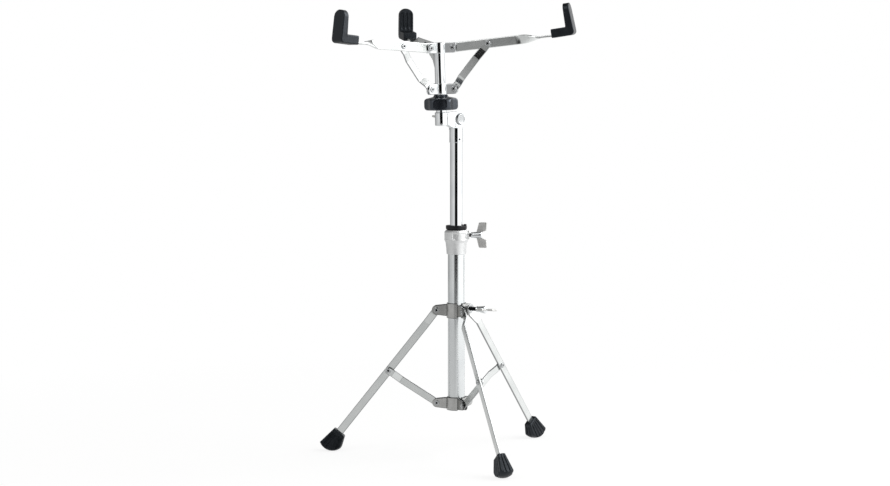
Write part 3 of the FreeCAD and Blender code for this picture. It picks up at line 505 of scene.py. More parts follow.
# collars
def collarPlate(size, place):
    # a bent strip: in plan an ear, a fillet and a third of a circle; in height a disc, a flange and a band
    bore, thick, fillet, pivotR, ear = pick(size, "bore thick fillet pivotR earR")
    flangeHalf, bandHalf = size["flange"] / 2, size["tall"] / 2
    middle, off = bore + thick / 2, size["gap"] + thick / 2
    cy = off + fillet
    cx = np.sqrt((middle + fillet) ** 2 - cy ** 2)
    lean = np.arctan2(cy, cx)
    x = np.concatenate([pivotR + ear * np.cos(quarter(9)), np.linspace(pivotR, cx, 5)[1:]])
    bow = -np.pi / 2 - np.linspace(0, 1, 8)[1:] * (np.pi / 2 - lean)
    arc = np.linspace(lean, np.pi / 3, 9)[1:]
    plan = np.concatenate([
        columns(x, off),
        columns(cx + fillet * np.cos(bow), cy + fillet * np.sin(bow)),
        columns(middle * np.cos(arc), middle * np.sin(arc)),
    ])
    disc = np.sqrt((ear ** 2 - (x - pivotR).clip(0) ** 2).clip(0.01))
    flange = ear + (flangeHalf - ear) * ((pivotR - x) / (pivotR - bore - 2 * thick)).clip(0, 1)
    half = np.concatenate([
        np.where(x > pivotR, disc, flange),
        np.interp(bow, bow[[-1, -4]], [bandHalf, flangeHalf]),
        0 * arc + bandHalf,
    ])
    c, s = np.cos(2 * np.pi / 3), np.sin(2 * np.pi / 3)
    mirror = plan[:-1][::-1] @ np.array([[c, s], [s, -c]])
    plan, half = np.concatenate([plan, mirror]), np.concatenate([half, half[:-1][::-1]])
    centres = np.concatenate([plan, 0 * plan[:, :1]], 1)
    across = acrossOf(centres)
    # the rows of both bends take painted shade, as the edges do
    bendShade = np.zeros(len(half))
    bendShade[len(x):len(x) + len(bow)] = size["bendMark"]
    bendShade = np.maximum(bendShade, bendShade[::-1])
    a, b, flatNo, _ = section(thick / 2, half, size["edge"])
    edgeShadeShare = np.maximum(flatNo % 2, bendShade[:, None])
    return shell(moved(carry(centres, across, upright, a, b), place), edgeShadeShare=edgeShadeShare)


# stamped plates; the last size is the share of painted shade in their bends
plate = dict(thick=2.0, fillet=1.6, edge=0.6, bendMark=0.7)
braceCollar = dict(plate, bore=12.7, gap=1.5, pivotR=29.3, tall=19.5, flange=16.5, earR=6.8)
legCollar = dict(plate, bore=12.75, gap=1.75, pivotR=29.5, tall=22.5, flange=17.5, earR=7.2)
hardware = dict(nutR=5.8, nutTall=4.5, seatBevel=(0.3, 0.4), topBevel=(0.2, 0.9), mouth=0.6, bore=3.05,
                nutEdge=0.2, washerR=7.0, washerTall=1.5, washerEdge=0.4, boltR=3.0, pitch=1.0,
                threadDeep=0.5)
for label, body, size, side in (("brace", "base", braceCollar, -1), ("leg", "leg_collar", legCollar, 1)):
    heads = []
    for k in sides:
        place = pivot(f"{label}_{k}_fold", side, upright)
        piece(f"{label}CollarPlate{k}", [collarPlate(size, place @ shift(-size["pivotR"], 0, 0))], body,
              [f"{label}_collar_plate_{k}"], nickel)
        reach = size["gap"] + size["thick"]
        if label == "brace" or k > 1:
            heads.append((-reach, reach, place, flatFastener if label == "brace" else fastener))
    riveted(f"{label}CollarRivets", heads, body, f"{label}_collar_rivets")
ear = pivot("leg_1_fold", 1, upright)
seat = legCollar["gap"] + legCollar["thick"]
flatR = hardware["nutR"] * np.cos(np.pi / 6)


def hexagon(r, z, a):
    # cuts a round bar to six flats
    return np.minimum(r, flatR / np.cos((a % (np.pi / 3)) - np.pi / 6))


bore, nutR, seatBevel, topBevel, mouth = pick(hardware, "bore nutR seatBevel topBevel mouth")
nutTop = seat + hardware["nutTall"]
nutLine = [(bore, seat), (nutR - seatBevel[0], seat), (nutR, seat + seatBevel[1]),
           (nutR, nutTop - topBevel[1]), (flatR - topBevel[0], nutTop), (bore + mouth, nutTop),
           (bore, nutTop - mouth)]
nutLine = rounded(nutLine, hardware["nutEdge"], 3, True)
piece("legCollarNut", [turned(nutLine, ear @ alongY, 96, True, hexagon)], "leg_collar", ["leg_collar_nut"],
      zinc, 25)
washerLine = ringLine(bore, hardware["washerR"], -seat - hardware["washerTall"], -seat)
washerLine = rounded(washerLine, hardware["washerEdge"], 4, True)
piece("legWingWasher", [turned(washerLine, ear @ alongY, 64, True)], "leg_collar", ["leg_wing_washer"],
      zinc)
print("collars made")

# wing bolts
wing = dict(hub=((0, 0), (4.4, 0), (4.1, 2.2), (5.6, 15.2), (4.6, 16.7), (0, 16.7)), hubEdge=0.8, thick=3.2,
            taper=0.12, tipThin=0.45, edge=1.25, span=19.0, root=3.0, tipRound=1.2,
            inEdge=((4.6, 18.5), (8.3, 11.7)), outEdge=((4.6, 7.0, 19.0), (16.7, 23.0, 24.0)))


def wingHead(place):
    # a tapered hub and two blades: each blade's rounded section runs outwards while its two edges flare
    middle = [turned(rounded(wing["hub"], wing["hubEdge"]), place @ alongX, 48)]
    reach, tip = wing["span"], wing["tipRound"]
    z = np.concatenate([np.linspace(wing["root"], reach - tip, 12),
                        reach - tip + tip * np.sin(quarter(9)[1:])])
    inset = roundOff(z - reach + tip, tip)
    inner = np.interp(z, *wing["inEdge"]) + inset
    outer = np.interp(z, *wing["outEdge"]) - inset
    thin = wing["thick"] / 2 * (1 - wing["taper"] * z / reach) - wing["tipThin"] * (inset / tip) ** 2
    blades = []
    for side in (1, -1):
        centres = columns((inner + outer) / 2, 0, side * z)
        blades.append(bar(centres, crossways, lengthways, thin, (outer - inner) / 2, wing["edge"], place))
    return middle, blades


clampAxis = np.array(jointOf["height_wing_turn"]["axis"])
clamp = mast @ turn("z", np.degrees(np.arctan2(clampAxis[1], clampAxis[0])))
heightBolt = dict(seat=22.0, level=331.8, shank=10.65, headIn=1.0)
legBolt = dict(seat=16.5, turn=84.0, shank=25.75, headIn=1.0)
tiltNut = dict(seat=10.75, turn=105.0)
wingSpots = {
    "height": (clamp @ shift(heightBolt["seat"], 0, heightBolt["level"]), "height_wing", "height_wing_bolt"),
    "leg": (ear @ shift(0, -legBolt["seat"], 0) @ turn("z", -90) @ turn("x", legBolt["turn"]),
            "leg_wing", "leg_wing_bolt"),
    "tilter": (tilt @ shift(0, -tiltNut["seat"], 0) @ turn("z", -90) @ turn("x", tiltNut["turn"]),
               "tilt_wing", "tilter_wing_nut"),
}
for label, (place, body, node) in wingSpots.items():
    middle, blades = wingHead(place)
    piece(f"{label}WingBlades", blades, body, [node], wingMetal)
    piece(f"{label}WingHub", middle, body, [], castChrome)
for label, size in (("height", heightBolt), ("leg", legBolt)):
    place, body, _ = wingSpots[label]
    screw = threaded(hardware, -size["shank"], size["headIn"], place @ alongX)
    piece(f"{label}WingScrew", [screw], body, [], blackenedSteelAndShade)
print("wing bolts made")

# rubber feet
boot = dict(centre=256.54, above=14.2, below=22.0, ball=20.5, shift=3.3, topWide=19.4, topThick=11.5,
            inner=23.3, outer=14.4, lowThick=23.5, brow=1.6, edge=2.6, edgeGrow=(0.5, 0.6), rib=1.2,
            broadRibs=5, narrowRibs=3, ribFrom=2.0, ribFade=5.0, ribWall=1.6)


def footShell(place):
    # a wedge whose rounded section grows down the leg, with sunk strips on its faces and a ball for a sole
    size = boot
    centre, ball, brow, topThick = pick(size, "centre ball brow topThick")
    top, topHalf = centre - size["above"], size["topWide"] / 2
    x = np.concatenate([top + brow * (1 - np.cos(quarter(6))), np.linspace(top + 1.5 * brow, centre, 14),
                        centre + ball * np.sin(quarter(22)[1:])])
    grow = (x - top) / (size["above"] + size["below"])
    shrink = roundOff(brow - (x - top), brow)
    low = topHalf + (size["inner"] - topHalf) * grow - shrink
    high = topHalf + (size["outer"] - topHalf) * grow - shrink
    thin = topThick / 2 + (size["lowThick"] - topThick) / 2 * grow - shrink
    edge = size["edge"] * (size["edgeGrow"][0] + size["edgeGrow"][1] * grow)
    a, b, flatNo, q = section(thin, (low + high) / 2, edge, 5, 36, 60)
    fade = ((x - top - size["ribFrom"]) / size["ribFade"]).clip(0, 1)[:, None] * size["rib"]
    for flats, count, target in (((0, 2), size["broadRibs"], a), ((1, 3), size["narrowRibs"], b)):
        strip = np.sin(np.pi * (0.5 + 0.5 * q) * (2 * count - 1))
        sunk = (0.5 - size["ribWall"] * strip).clip(0, 1)
        onFlat = np.isin(flatNo, flats)
        target -= np.sign(target) * np.where(onFlat, sunk, 0) * fade
    y, z = a, b + ((high - low) / 2)[:, None]
    dy, dz = y, z - size["shift"]
    reach = np.hypot(dy, dz).clip(1e-6)
    room = np.sqrt((ball ** 2 - (x - centre).clip(0) ** 2).clip(0))[:, None]
    room = np.where(x[:, None] > centre, room, 4 * ball)  # above the ball nothing is held in
    share = np.minimum(1, room / reach)
    grid = np.stack([x[:, None] + 0 * y, dy * share - leg["side"], size["shift"] + dz * share], -1)
    grid = moved(grid, place)
    grid[..., 2] = grid[..., 2].clip(0)
    return shell(grid)


for k in sides:
    piece(f"rubberFoot{k}", [footShell(legPlaces[k])], f"leg_{k}", [f"foot_{k}"], rubber, 50)
print("feet made")

# height clamp and bushing
casting = dict(bore=12.7, low=303.3, footR=14.6, flare=((15.1, 312.3), (16.1, 320.3)), bandR=18.0,
               bandLow=324.8, bandTop=336.3, rimR=15.6, edge=0.7, windows=8, windowDeep=0.8,
               windowHalf=(4.6, 5.0), windowWall=0.5, bossSpan=0.9, bossR=6.3, bossEnd=19.5,
               dishR=3.4, dishDeep=1.5, bossEdge=0.6)
bore, low, footR, bandR, bandLow, bandTop = pick(casting, "bore low footR bandR bandLow bandTop")
clampLine = [(bore, low), (footR, low), *casting["flare"], (bandR, bandLow), (bandR, bandTop),
             (casting["rimR"], tube["top"]), (bore, tube["top"])]


def windowWave(r, z, a):
    # the band has shallow windows between uprights; the one under the bolt's boss stays full
    pitch, wall = 2 * np.pi / casting["windows"], casting["windowWall"]
    spread = np.abs((a + pitch / 2) % pitch - pitch / 2) * bandR
    halfWide, halfTall = casting["windowHalf"]
    wide = ((halfWide - spread) / wall).clip(0, 1)
    tall = ((halfTall - np.abs(z - (bandLow + bandTop) / 2)) / wall).clip(0, 1)
    clear = np.cos(a) < casting["bossSpan"]
    return r - casting["windowDeep"] * wide * tall * clear * (r > footR)


dense = rounded(clampLine, casting["edge"], 4, True)
cuts = []
for here, ahead in zip(dense, np.roll(dense, -1, 0)):
    # runs over 4 mm are divided, so that the windows have points to sink
    count = 14 if np.linalg.norm(here - ahead) > 4 else 1
    cuts.append(np.linspace(here, ahead, count, endpoint=False))
bossR, bossEnd, dishR, dishDeep = pick(casting, "bossR bossEnd dishR dishDeep")
boss = [(0, footR), (bossR, footR), (bossR, bossEnd), (dishR, bossEnd), (dishR, bossEnd - dishDeep),
        (0, bossEnd - dishDeep)]
bossPlace = clamp @ shift(0, 0, heightBolt["level"]) @ alongX
shells = [turned(np.concatenate(cuts), clamp, 240, True, windowWave),
          turned(rounded(boss, casting["bossEdge"]), bossPlace, 56)]
piece("heightClamp", shells, "base", ["height_clamp"], blasted)
bush = dict(bore=9.575, sleeveR=11.05, low=294.8, rimR=15.8, rimTop=346.3, bevel=2.0, lip=0.6, edge=0.35,
            tabDeep=4.5, tabWide=6.0, tabTop=348.1, tabEdge=0.8, tabDraw=((0.6, 0.2, 0), (0, 0.2, 0.6)))
bore, sleeveR, rimR, rimTop, bevel, lip = pick(bush, "bore sleeveR rimR rimTop bevel lip")
bushLine = [(bore, bush["low"]), (sleeveR, bush["low"]), (sleeveR, tube["top"]), (rimR - bevel, tube["top"]),
            (rimR, tube["top"] + bevel), (rimR, rimTop - lip), (rimR - lip, rimTop), (bore, rimTop)]
below, draw = np.array(bush["tabDraw"])
z, draw = np.append(rimTop - lip, bush["tabTop"] - below), np.append(0, draw)
deep, wide = bush["tabDeep"] / 2, bush["tabWide"] / 2
centres = columns(rimR - lip - deep, 0, z)
tab = bar(centres, lengthways, crossways, deep - draw, wide - draw, bush["tabEdge"], clamp)
piece("heightBushing", [turned(rounded(bushLine, bush["edge"], 3, True), clamp, 96, True), tab], "swivel",
      ["height_bushing"], nylon)

# tilter
tilter = dict(bossR=10.8, near=0.125, back=10.625, front=8.5, cupR=8.8, cupDeep=2.2, cupDraw=0.2,
              sleeveR=10.525, sleeveLow=-35.0, sleeveTop=-13.0, tubeTop=-16.0, neckHalf=8.1, neckBack=8.625,
              neckEdge=1.6, webLow=((0, 15.9, 23.7, 29.5), (-10.6, -11.8, -8.0, -8.0)),
              webHigh=((0, 29.5), (10.6, 11.5)), webEdge=1.2, postSleeveR=9.8, postLow=-8.0, postTop=11.5,
              floor=-6.0, edge=0.9, pinR=1.4, pinLen=21.65, pinLevel=474.8, pinTurn=-63.0,
              webGap=0.1, webStart=0.5, webLap=1.2, webSink=0.6, webTurn=9.0, sleeveEdge=0.4, pinEdge=0.3,
              cupEdge=0.6, socketEdge=0.8)
hinge = pivot("basket_tilt", 1, upright)
near, front, bossR, cupR, tubeTop = pick(tilter, "near front bossR cupR tubeTop")
sleeveR, sleeveLow, sleeveTop = pick(tilter, "sleeveR sleeveLow sleeveTop")
sleeve = [(0, sleeveTop), (sleeveR, sleeveTop), (sleeveR, sleeveLow), (upperTube["outer"], sleeveLow),
          (upperTube["outer"], tubeTop), (0, tubeTop)]
disc = rounded(ringLine(0, bossR, -tilter["back"], -near), tilter["edge"])
z = np.linspace(tubeTop, 0, 8)
centres = columns(0, -(tilter["neckBack"] + near) / 2, z)
neck = bar(centres, lengthways, crossways, tilter["neckHalf"] + 0 * z, (tilter["neckBack"] - near) / 2,
           tilter["neckEdge"], hinge)
sleeve = rounded(sleeve, tilter["sleeveEdge"])
piece("tilterLower", [turned(sleeve, hinge, 80), turned(disc, hinge @ alongY, 80), neck], "upper_mast",
      ["tilter_lower"], castChrome)
pinHalf = tilter["pinLen"] / 2
pinLine = rounded(ringLine(0, tilter["pinR"], -pinHalf, pinHalf), tilter["pinEdge"])
pinPlace = mast @ shift(0, 0, tilter["pinLevel"]) @ turn("z", tilter["pinTurn"]) @ alongX
piece("tilterPin", [turned(pinLine, pinPlace, 28)], "upper_mast", ["tilter_pin"],
      blackenedSteelAndShade)
cup = [(0, near), (bossR, near), (bossR, front), (cupR, front),
       (cupR - tilter["cupDraw"], front - tilter["cupDeep"]), (0, front - tilter["cupDeep"])]


def webShell(x, low, high):
    # a bar from the boss to the post: its two edges follow the given heights
    centres = columns(x, (front + near) / 2, (high + low) / 2)
    return bar(centres, crossways, upright, (front - near) / 2, (high - low) / 2, tilter["webEdge"], tilt)


x = np.linspace(cupR + tilter["webGap"], post["off"], 24)
web = [webShell(x, np.interp(x, *tilter["webLow"]), np.interp(x, *tilter["webHigh"]))]
# the two corners between the round boss and the bar
x = np.linspace(tilter["webStart"], cupR + tilter["webLap"], 9)
bend = np.sqrt((bossR - tilter["webSink"]) ** 2 - x.clip(None, tilter["webTurn"]) ** 2)
web += [webShell(x, bend, np.interp(x, *tilter["webHigh"])),
        webShell(x, np.interp(x, *tilter["webLow"]), -bend)]
socketR, postLow, postTop, postFloor = pick(tilter, "postSleeveR postLow postTop floor")
socket = [(0, postLow), (socketR, postLow), (socketR, postTop), (post["radius"], postTop),
          (post["radius"], postFloor), (0, postFloor)]
shells = [turned(rounded(cup, tilter["cupEdge"]), tilt @ alongY, 80), *web,
          turned(rounded(socket, tilter["socketEdge"]), basket, 80)]
piece("tilterUpper", shells, "basket", ["tilter_upper"], castChrome)
tiltBolt = dict(headR=8.2, headLow=6.3, headTop=11.0, rimR=7.2, dish=0.5, dishR=(6.2, 5.8), edge=0.5,
                end=-25.45)
headR, headLow, headTop, bowl = pick(tiltBolt, "headR headLow headTop dishR")
dishFloor = headTop - tiltBolt["dish"]
boltHead = [(0, headLow), (headR, headLow), (headR, front), (tiltBolt["rimR"], headTop), (bowl[0], headTop),
            (bowl[1], dishFloor), (0, dishFloor)]
shells = [turned(rounded(boltHead, tiltBolt["edge"]), tilt @ alongY, 48),
          threaded(hardware, tiltBolt["end"], headLow, tilt @ alongY)]
piece("tilterBolt", shells, "basket", ["tilter_bolt"], zinc)
print("clamp and tilter made")

# hubs
hub = dict(bore=7.95, wall=2.2, ringEdge=0.6, earOut=5.8, earTall=15.0, earRound=4.5, earThick=2.0,
           pivotR=20.5, edge=0.75)
upperHub = dict(tall=16.0, gap=1.75, loose=0.0)
lowerHub = dict(tall=16.5, gap=1.5, loose=0.05)


def hubEar(place, off):
    # a plate that stands out from the ring; its outer corners are rounded, so its height falls along a circle
    far, bend = hub["pivotR"] + hub["earOut"], hub["earRound"]
    x = np.concatenate([np.linspace(hub["bore"] + hub["wall"] / 2, far - bend, 5),
                        far - bend + bend * np.sin(quarter(10)[1:])])
    tall = hub["earTall"] / 2 - roundOff(x - far + bend, bend)
    centres = columns(x, off, 0)
    return bar(centres, crossways, upright, hub["earThick"] / 2, tall, hub["edge"], place)


for label, body, slide, size in (
    ("upper", "basket", "arm", upperHub), ("lower", "basket_slider", "strut", lowerHub),
):
    tall, gap, loose = pick(size, "tall gap loose")
    places = [pivot(f"{slide}_{k}_fold", -1, postAxis) for k in sides]
    middles = [place @ shift(-hub["pivotR"], 0, 0) for place in places]
    ring = ringLine(hub["bore"] + loose, hub["bore"] + hub["wall"], -tall / 2, tall / 2)
    shells = [turned(rounded(ring, hub["ringEdge"], 4, True), middles[0], 72, True)]
    off = gap + hub["earThick"] / 2
    shells += [hubEar(place, side * off) for place in middles for side in (1, -1)]
    piece(f"{label}Hub", shells, body, [f"{label}_hub"], castChrome)
    reach = gap + hub["earThick"]
    heads = [(-reach, reach, place, flatFastener) for place in places]
    riveted(f"{label}HubRivets", heads, body, f"{label}_hub_rivets")

# knob and its metal insert
knob = dict(low=15.2, radius=25.1, top=22.3, insertR=9.3, loose=0.05, lobes=6, hollowR=34.0, hollowDeep=3.2,
            turn=-315.5, soft=0.6, edge=2.2, insertEdge=0.3,
            side=((21.9, 0), (24.3, 1.6), (25.1, 4.5), (25.1, 12.5), (24.3, 15.4), (21.9, 17.0),
                  (11.5, 19.3), (10.0, 22.3)))
knobPlace = basket @ shift(0, 0, knob["low"]) @ turn("z", knob["turn"])
knobLine = [(knob["insertR"], 0), *knob["side"], (knob["insertR"], knob["top"])]


def lobeWave(r, z, a):
    # six wide hollows of a large circle; a soft least value rounds the ridges between them
    pitch, hollowR, soft = 2 * np.pi / knob["lobes"], knob["hollowR"], knob["soft"]
    lean = (a + pitch / 2) % pitch - pitch / 2
    away = knob["radius"] + hollowR - knob["hollowDeep"]
    hollow = away * np.cos(lean) - np.sqrt((hollowR ** 2 - (away * np.sin(lean)) ** 2).clip(0))
    return -soft * np.logaddexp(-r / soft, -hollow / soft)


piece("basketKnob", [turned(rounded(knobLine, knob["edge"], 6, True), knobPlace, 216, True, lobeWave)],
      "basket_knob", ["knob"], gloss, 60)
insertLine = ringLine(hub["bore"] + knob["loose"], knob["insertR"], 0, knob["top"])
insertLine = rounded(insertLine, knob["insertEdge"], 3, True)
piece("knobInsert", [turned(insertLine, knobPlace, 64, True)], "basket_knob", ["knob_insert"],
      zinc)
print("hubs and knob made")

# arms and struts
arm = dict(wide=13.6, thick=3.0, side=0.0, edge=0.9, rise=4.9, mid=54.2, twistFrom=99.0, twistTo=132.0,
           evenTwist=0.6, straightTo=95.0, length=176.0)
strut = dict(wide=11.4, thick=2.5, edge=0.8, bend=6.0, roundEnds=(1, 1), side=3.0, bow=7.0, bendFrom=10.0,
             bendTo=21.0, crankBack=26.0, flat=12.0)


def armShell(place):
    # a bar on edge whose section turns a quarter round its own length before the tip
    end = arm["wide"] / 2
    x = np.concatenate([-end * np.cos(quarter(10)), [arm["straightTo"]],
                        np.linspace(arm["twistFrom"], arm["twistTo"], 28), [arm["length"]]])
    share = ((x - arm["twistFrom"]) / (arm["twistTo"] - arm["twistFrom"])).clip(0, 1)
    smooth = share ** 2 * (3 - 2 * share)
    lean = np.pi / 2 * (arm["evenTwist"] * share + (1 - arm["evenTwist"]) * smooth)
    thick = columns(0, np.cos(lean), np.sin(lean))
    wide = columns(0, -np.sin(lean), np.cos(lean))
    half = np.sqrt((end ** 2 - x.clip(None, 0) ** 2).clip(0.0025))
    centres = columns(x, 0, 0)
    return bar(centres, thick, wide, arm["thick"] / 2, half, arm["edge"], place)


armPlaces = {}
for k in sides:
    armPlaces[k] = pivot(f"arm_{k}_fold", -1, postAxis) @ turn("y", -arm["rise"])
    spot = armPlaces[k] @ shift(arm["mid"], 0, 0)
    member("arm", k, armShell(armPlaces[k]), spot, arm, (0, 1))
    place, length = reachFrom(pivot(f"strut_{k}_fold", -1, postAxis), spot)
    path = [(-strut["wide"] / 2, 0), (strut["bendFrom"], 0), (strut["bendTo"], -strut["bow"]),
            (length - strut["crankBack"], -strut["bow"]), (length - strut["flat"], -strut["side"]),
            (length + strut["wide"] / 2, -strut["side"])]
    member("strut", k, strap(path, place, strut), place @ shift(length, 0, 0), strut, (1, 0))
print("arms and struts made")

# rubber grips
grip = dict(start=150.5, padIn=172.8, padOut=185.0, tipOut=181.8, wide=22.0, sleeveWide=21.0, low=-3.3,
            shelf=9.6, top=43.6, topR=10.0, heelR=5.5, innerR=1.2, edge=1.7, mouthR=1.5, lean=2.3,
            groove=1.8, groovePitch=6.3, grooveWide=2.3, grooveEnds=(3.0, 5.0), grooveFade=(1.5, 2.0))


def even(line, count):
    # the same line with its points spaced evenly along it
    run = runOf(line)
    spots = np.linspace(0, run[-1], count)
    return np.stack([np.interp(spots, run, line[:, i]) for i in (0, 1)], 1)


def gripShell(place):
    # an L in side view: stations join its inner line to its outer line, along the sleeve, round the heel in a
    # fan, and up the pad, whose width falls along a circle at the top; grooves run up the pad's inner face
    size = grip
    innerR, topR, mouthR, top, low, shelf = pick(size, "innerR topR mouthR top low shelf")
    begin, padIn, padOut = pick(size, "start padIn padOut")
    turnX, turnZ = padIn - innerR, shelf + innerR

    def outward(level):
        return padOut + (size["tipOut"] - padOut) * (level - low) / (top - low)

    x = np.concatenate([begin + mouthR * (1 - np.cos(quarter(6))),
                        np.linspace(begin + 2 * mouthR, turnX, 8)[:-1]])
    swing = np.linspace(-np.pi / 2, 0, 13)
    heel = rounded([(turnX, low), (padOut, low), (outward(turnZ), turnZ)], size["heelR"], 12)
    z = np.concatenate([np.linspace(turnZ, top - topR, 14)[1:],
                        top - topR + topR * np.sin(quarter(14)[1:])])
    inner = np.concatenate([columns(x, shelf),
                            columns(turnX + innerR * np.cos(swing), turnZ + innerR * np.sin(swing)),
                            columns(padIn, z)])
    outer = np.concatenate([columns(x, low), even(heel, 13), columns(outward(z), z)])
    level = inner[:, 1]
    past = np.concatenate([x - begin, np.full(len(level) - len(x), mouthR)])
    shrink = roundOff(mouthR - past, mouthR)
    crown = roundOff(level - top + topR, topR)
    widen = np.concatenate([0 * x, np.linspace(0, 1, 13), 0 * z + 1])
    halfWide = size["sleeveWide"] / 2 + widen * (size["wide"] - size["sleeveWide"]) / 2 - shrink - crown
    span = outer - inner
    halfThick = np.linalg.norm(span, axis=1) / 2 - shrink
    axis = span / np.linalg.norm(span, axis=1, keepdims=True)
    axisA = columns(axis[:, 0], 0, axis[:, 1])
    middle = (inner + outer) / 2
    centres = columns(middle[:, 0], 0, middle[:, 1])
    a, b, flatNo, _ = section(halfThick, halfWide.clip(0.3), size["edge"], 5, 6, 80)
    rest = np.abs(b[..., None] - size["groovePitch"] * np.array([-1, 0, 1])).min(-1)
    pressed = (1 - (rest / size["grooveWide"]) ** 2).clip(0) ** 0.7
    (ahead, behind), (fadeIn, fadeOut) = size["grooveEnds"], size["grooveFade"]
    rising = ((level - shelf - ahead) / fadeIn).clip(0, 1)
    reach = rising * ((top - behind - level) / fadeOut).clip(0, 1)
    a = a + np.where(flatNo == 2, size["groove"] * pressed * reach[:, None], 0)
    lay = place @ shift(begin, 0, 0) @ turn("y", -size["lean"]) @ shift(-begin, 0, 0)
    return shell(moved(carry(centres, axisA, crossways, a, b), lay))


for k in sides:
    piece(f"rubberGrip{k}", [gripShell(armPlaces[k])], f"arm_{k}", [f"grip_{k}"], rubber, 50)
print("grips made")

# floor: pale, with a soft shadow near the stand, and as white as the backdrop further out; mirrors see it
# greyer on the left
floorSize = dict(half=2.2, level=-0.0004, shadow=(0.3, 1.15), glow=(0.85, 1.0), light=(-0.05, 0.35),
                 inMirrors=(0.67, 1.15))
floorMesh = bpy.data.meshes.new("studioFloor")
half, level = floorSize["half"], floorSize["level"]
corners = [(x * half, y * half, level) for x, y in ((-1, -1), (1, -1), (1, 1), (-1, 1))]
floorMesh.from_pydata(corners, [], [(0, 1, 2, 3)])
floor = placed("studioFloor", floorMesh)
paper = bpy.data.materials.new("whitePaperSweep")
tree = emptyTree(paper)
spot = addNode(tree, "TexCoord", {})
far = addNode(tree, "VectorMath", {"operation": "LENGTH"}, (spot.outputs["Object"], 0))
fade = addNode(tree, "MapRange", spans(floorSize["shadow"], floorSize["glow"]),
               (far.outputs["Value"], "Value"))
ray = addNode(tree, "LightPath", {})
share = addNode(tree, "Math", {"operation": "MULTIPLY"}, (fade, 0), (ray.outputs["Is Camera Ray"], 1))
seen = addNode(tree, "Math", {"operation": "MAXIMUM"}, (share, 0), (ray.outputs["Is Glossy Ray"], 1))
across = addNode(tree, "SeparateXYZ", {}, (spot.outputs["Object"], 0))
mirrored = addNode(tree, "MapRange", spans(floorSize["light"], floorSize["inMirrors"]),
                   (across.outputs["X"], "Value"))
strength = addNode(tree, "MapRange", {"To Max": 1.0}, (ray.outputs["Is Camera Ray"], "Value"),
                   (mirrored, "To Min"))
sheetColour = addNode(tree, "BsdfDiffuse", {"Color": colour("#f4f4f3")})
glow = addNode(tree, "Emission", {"Color": (1, 1, 1, 1)}, (strength, "Strength"))
mix = addNode(tree, "MixShader", {}, (seen, 0), (sheetColour, 1), (glow, 2))
addNode(tree, "OutputMaterial", {}, (mix, "Surface"))
floorMesh.materials.append(paper)

# studio: white backdrop; a mirror sees white on the right, grey on the left, a dark card round the camera,
# two narrow dark cards behind that give the metal an edge from other sides, and a darker ceiling
studio = dict(soft=0.62, card=0.0, cardFrom=-30.5, cardTo=22.0, cardLow=-42.0, cardHigh=42.0, edge=7.0,
              brightest=1.4, ceilingFrom=(28.0, 46.0), ceiling=(1.0, 0.28),
              walls=((-180, 0.25), (-154, 0.25), (-148, 0.28), (-120, 0.28), (-96, 0.44), (-60, 0.50),
                     (-34, 0.66), (16, 1.0), (114, 1.0), (119, 0.3), (134, 0.3), (139, 1.0), (172, 0.9),
                     (177, 0.25), (180, 0.25)))
world = bpy.data.worlds.new("studioRoom")
bpy.context.scene.world = world
tree = emptyTree(world)
way = addNode(tree, "TexCoord", {})
part = addNode(tree, "SeparateXYZ", {}, (way.outputs["Generated"], 0))
flip = addNode(tree, "Math", {"operation": "MULTIPLY", 1: -1.0}, (part.outputs["Y"], 0))
bearing = addNode(tree, "Math", {"operation": "ARCTAN2"}, (part.outputs["X"], 0), (flip, 1))
level = addNode(tree, "Math", {"operation": "ARCSINE"}, (part.outputs["Z"], 0))
edges = []
for source, value, sign in ((bearing, "cardFrom", 1), (bearing, "cardTo", -1), (level, "cardLow", 1),
                            (level, "cardHigh", -1)):
    middle, soft = np.radians(studio[value]), np.radians(studio["edge"]) * sign
    edges.append(addNode(tree, "MapRange", spans((middle - soft, middle + soft)), (source, "Value")))
inside = edges[0]
for other in edges[1:]:
    inside = addNode(tree, "Math", {"operation": "MULTIPLY"}, (inside, 0), (other, 1))
whole = addNode(tree, "MapRange", spans((-np.pi, np.pi)), (bearing, "Value"))
wall = addNode(tree, "ValToRGB", {}, (whole, "Fac"))
stops = wall.color_ramp.elements
while len(stops) < len(studio["walls"]):
    stops.new(0.5)
for stop, (angle, grey) in zip(stops, studio["walls"]):
    stop.position, stop.color = (angle + 180) / 360, (grey, grey, grey, 1)
bright = addNode(tree, "Math", {"operation": "MULTIPLY", 1: studio["brightest"]}, (wall, 0))
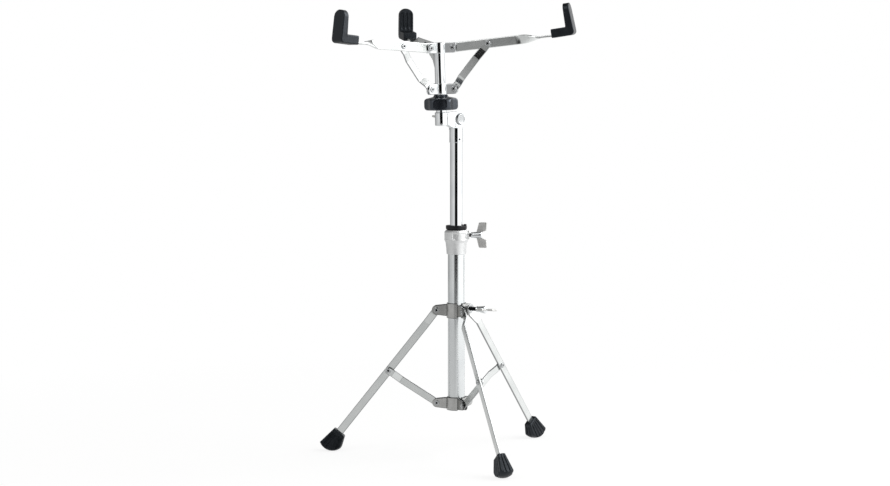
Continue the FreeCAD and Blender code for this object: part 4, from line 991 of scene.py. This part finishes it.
ceiling = addNode(tree, "MapRange", spans(np.radians(studio["ceilingFrom"]), studio["ceiling"]),
                  (level, "Value"))
room = addNode(tree, "Math", {"operation": "MULTIPLY"}, (bright, 0), (ceiling, 1))
mirror = addNode(tree, "MapRange", {"From Min": 0.0, "From Max": 1.0, "To Max": studio["card"]},
                 (inside, "Value"), (room, "To Min"))
ray = addNode(tree, "LightPath", {})
lit = addNode(tree, "Mix", {"A": studio["soft"]}, (ray.outputs["Is Glossy Ray"], "Factor"), (mirror, "B"))
shown = addNode(tree, "Mix", {"B": 1.0}, (ray.outputs["Is Camera Ray"], "Factor"), (lit, "A"))
sky = addNode(tree, "Background", {"Color": (1, 1, 1, 1)}, (shown, "Strength"))
addNode(tree, "OutputWorld", {}, (sky, "Surface"))

# soft boxes: a bright key high on the right, above what the upright faces mirror, and a weak fill from the
# upper left
lamps = {
    "keyBox": {"spot": (1.84, 0.05, 1.67), "size": 1.9, "watts": 48.0},
    "fillBox": {"spot": (-1.6, -2.0, 2.4), "size": 1.6, "watts": 18.0},
}
aim = np.array([0.0, 0.0, 0.38])
for name, lamp in lamps.items():
    light = bpy.data.lights.new(name, "AREA")
    light.size, light.energy = lamp["size"], lamp["watts"]
    holder = placed(name, light)
    back = np.array(lamp["spot"]) - aim
    back /= np.linalg.norm(back)
    holder.location = lamp["spot"]
    holder.rotation_euler = (np.arccos(back[2]), 0, np.arctan2(back[0], -back[1]))

# camera: in front, a little above the basket's level, looking slightly down
view = dict(spot=(0.0188, -3.0498, 0.5700), focalPixels=2053.6, frameWide=890, sensorMm=36.0, down=4.675,
            round=0.352)
eye = bpy.data.cameras.new("frontCamera")
eye.sensor_width = view["sensorMm"]
eye.lens = eye.sensor_width * view["focalPixels"] / view["frameWide"]
cameraStand = placed("frontCamera", eye)
cameraStand.location = view["spot"]
cameraStand.rotation_euler = (np.radians(90 - view["down"]), 0, np.radians(view["round"]))
bpy.context.scene.camera = cameraStand
bpy.context.scene.view_settings.view_transform = "Standard"
print("studio set")
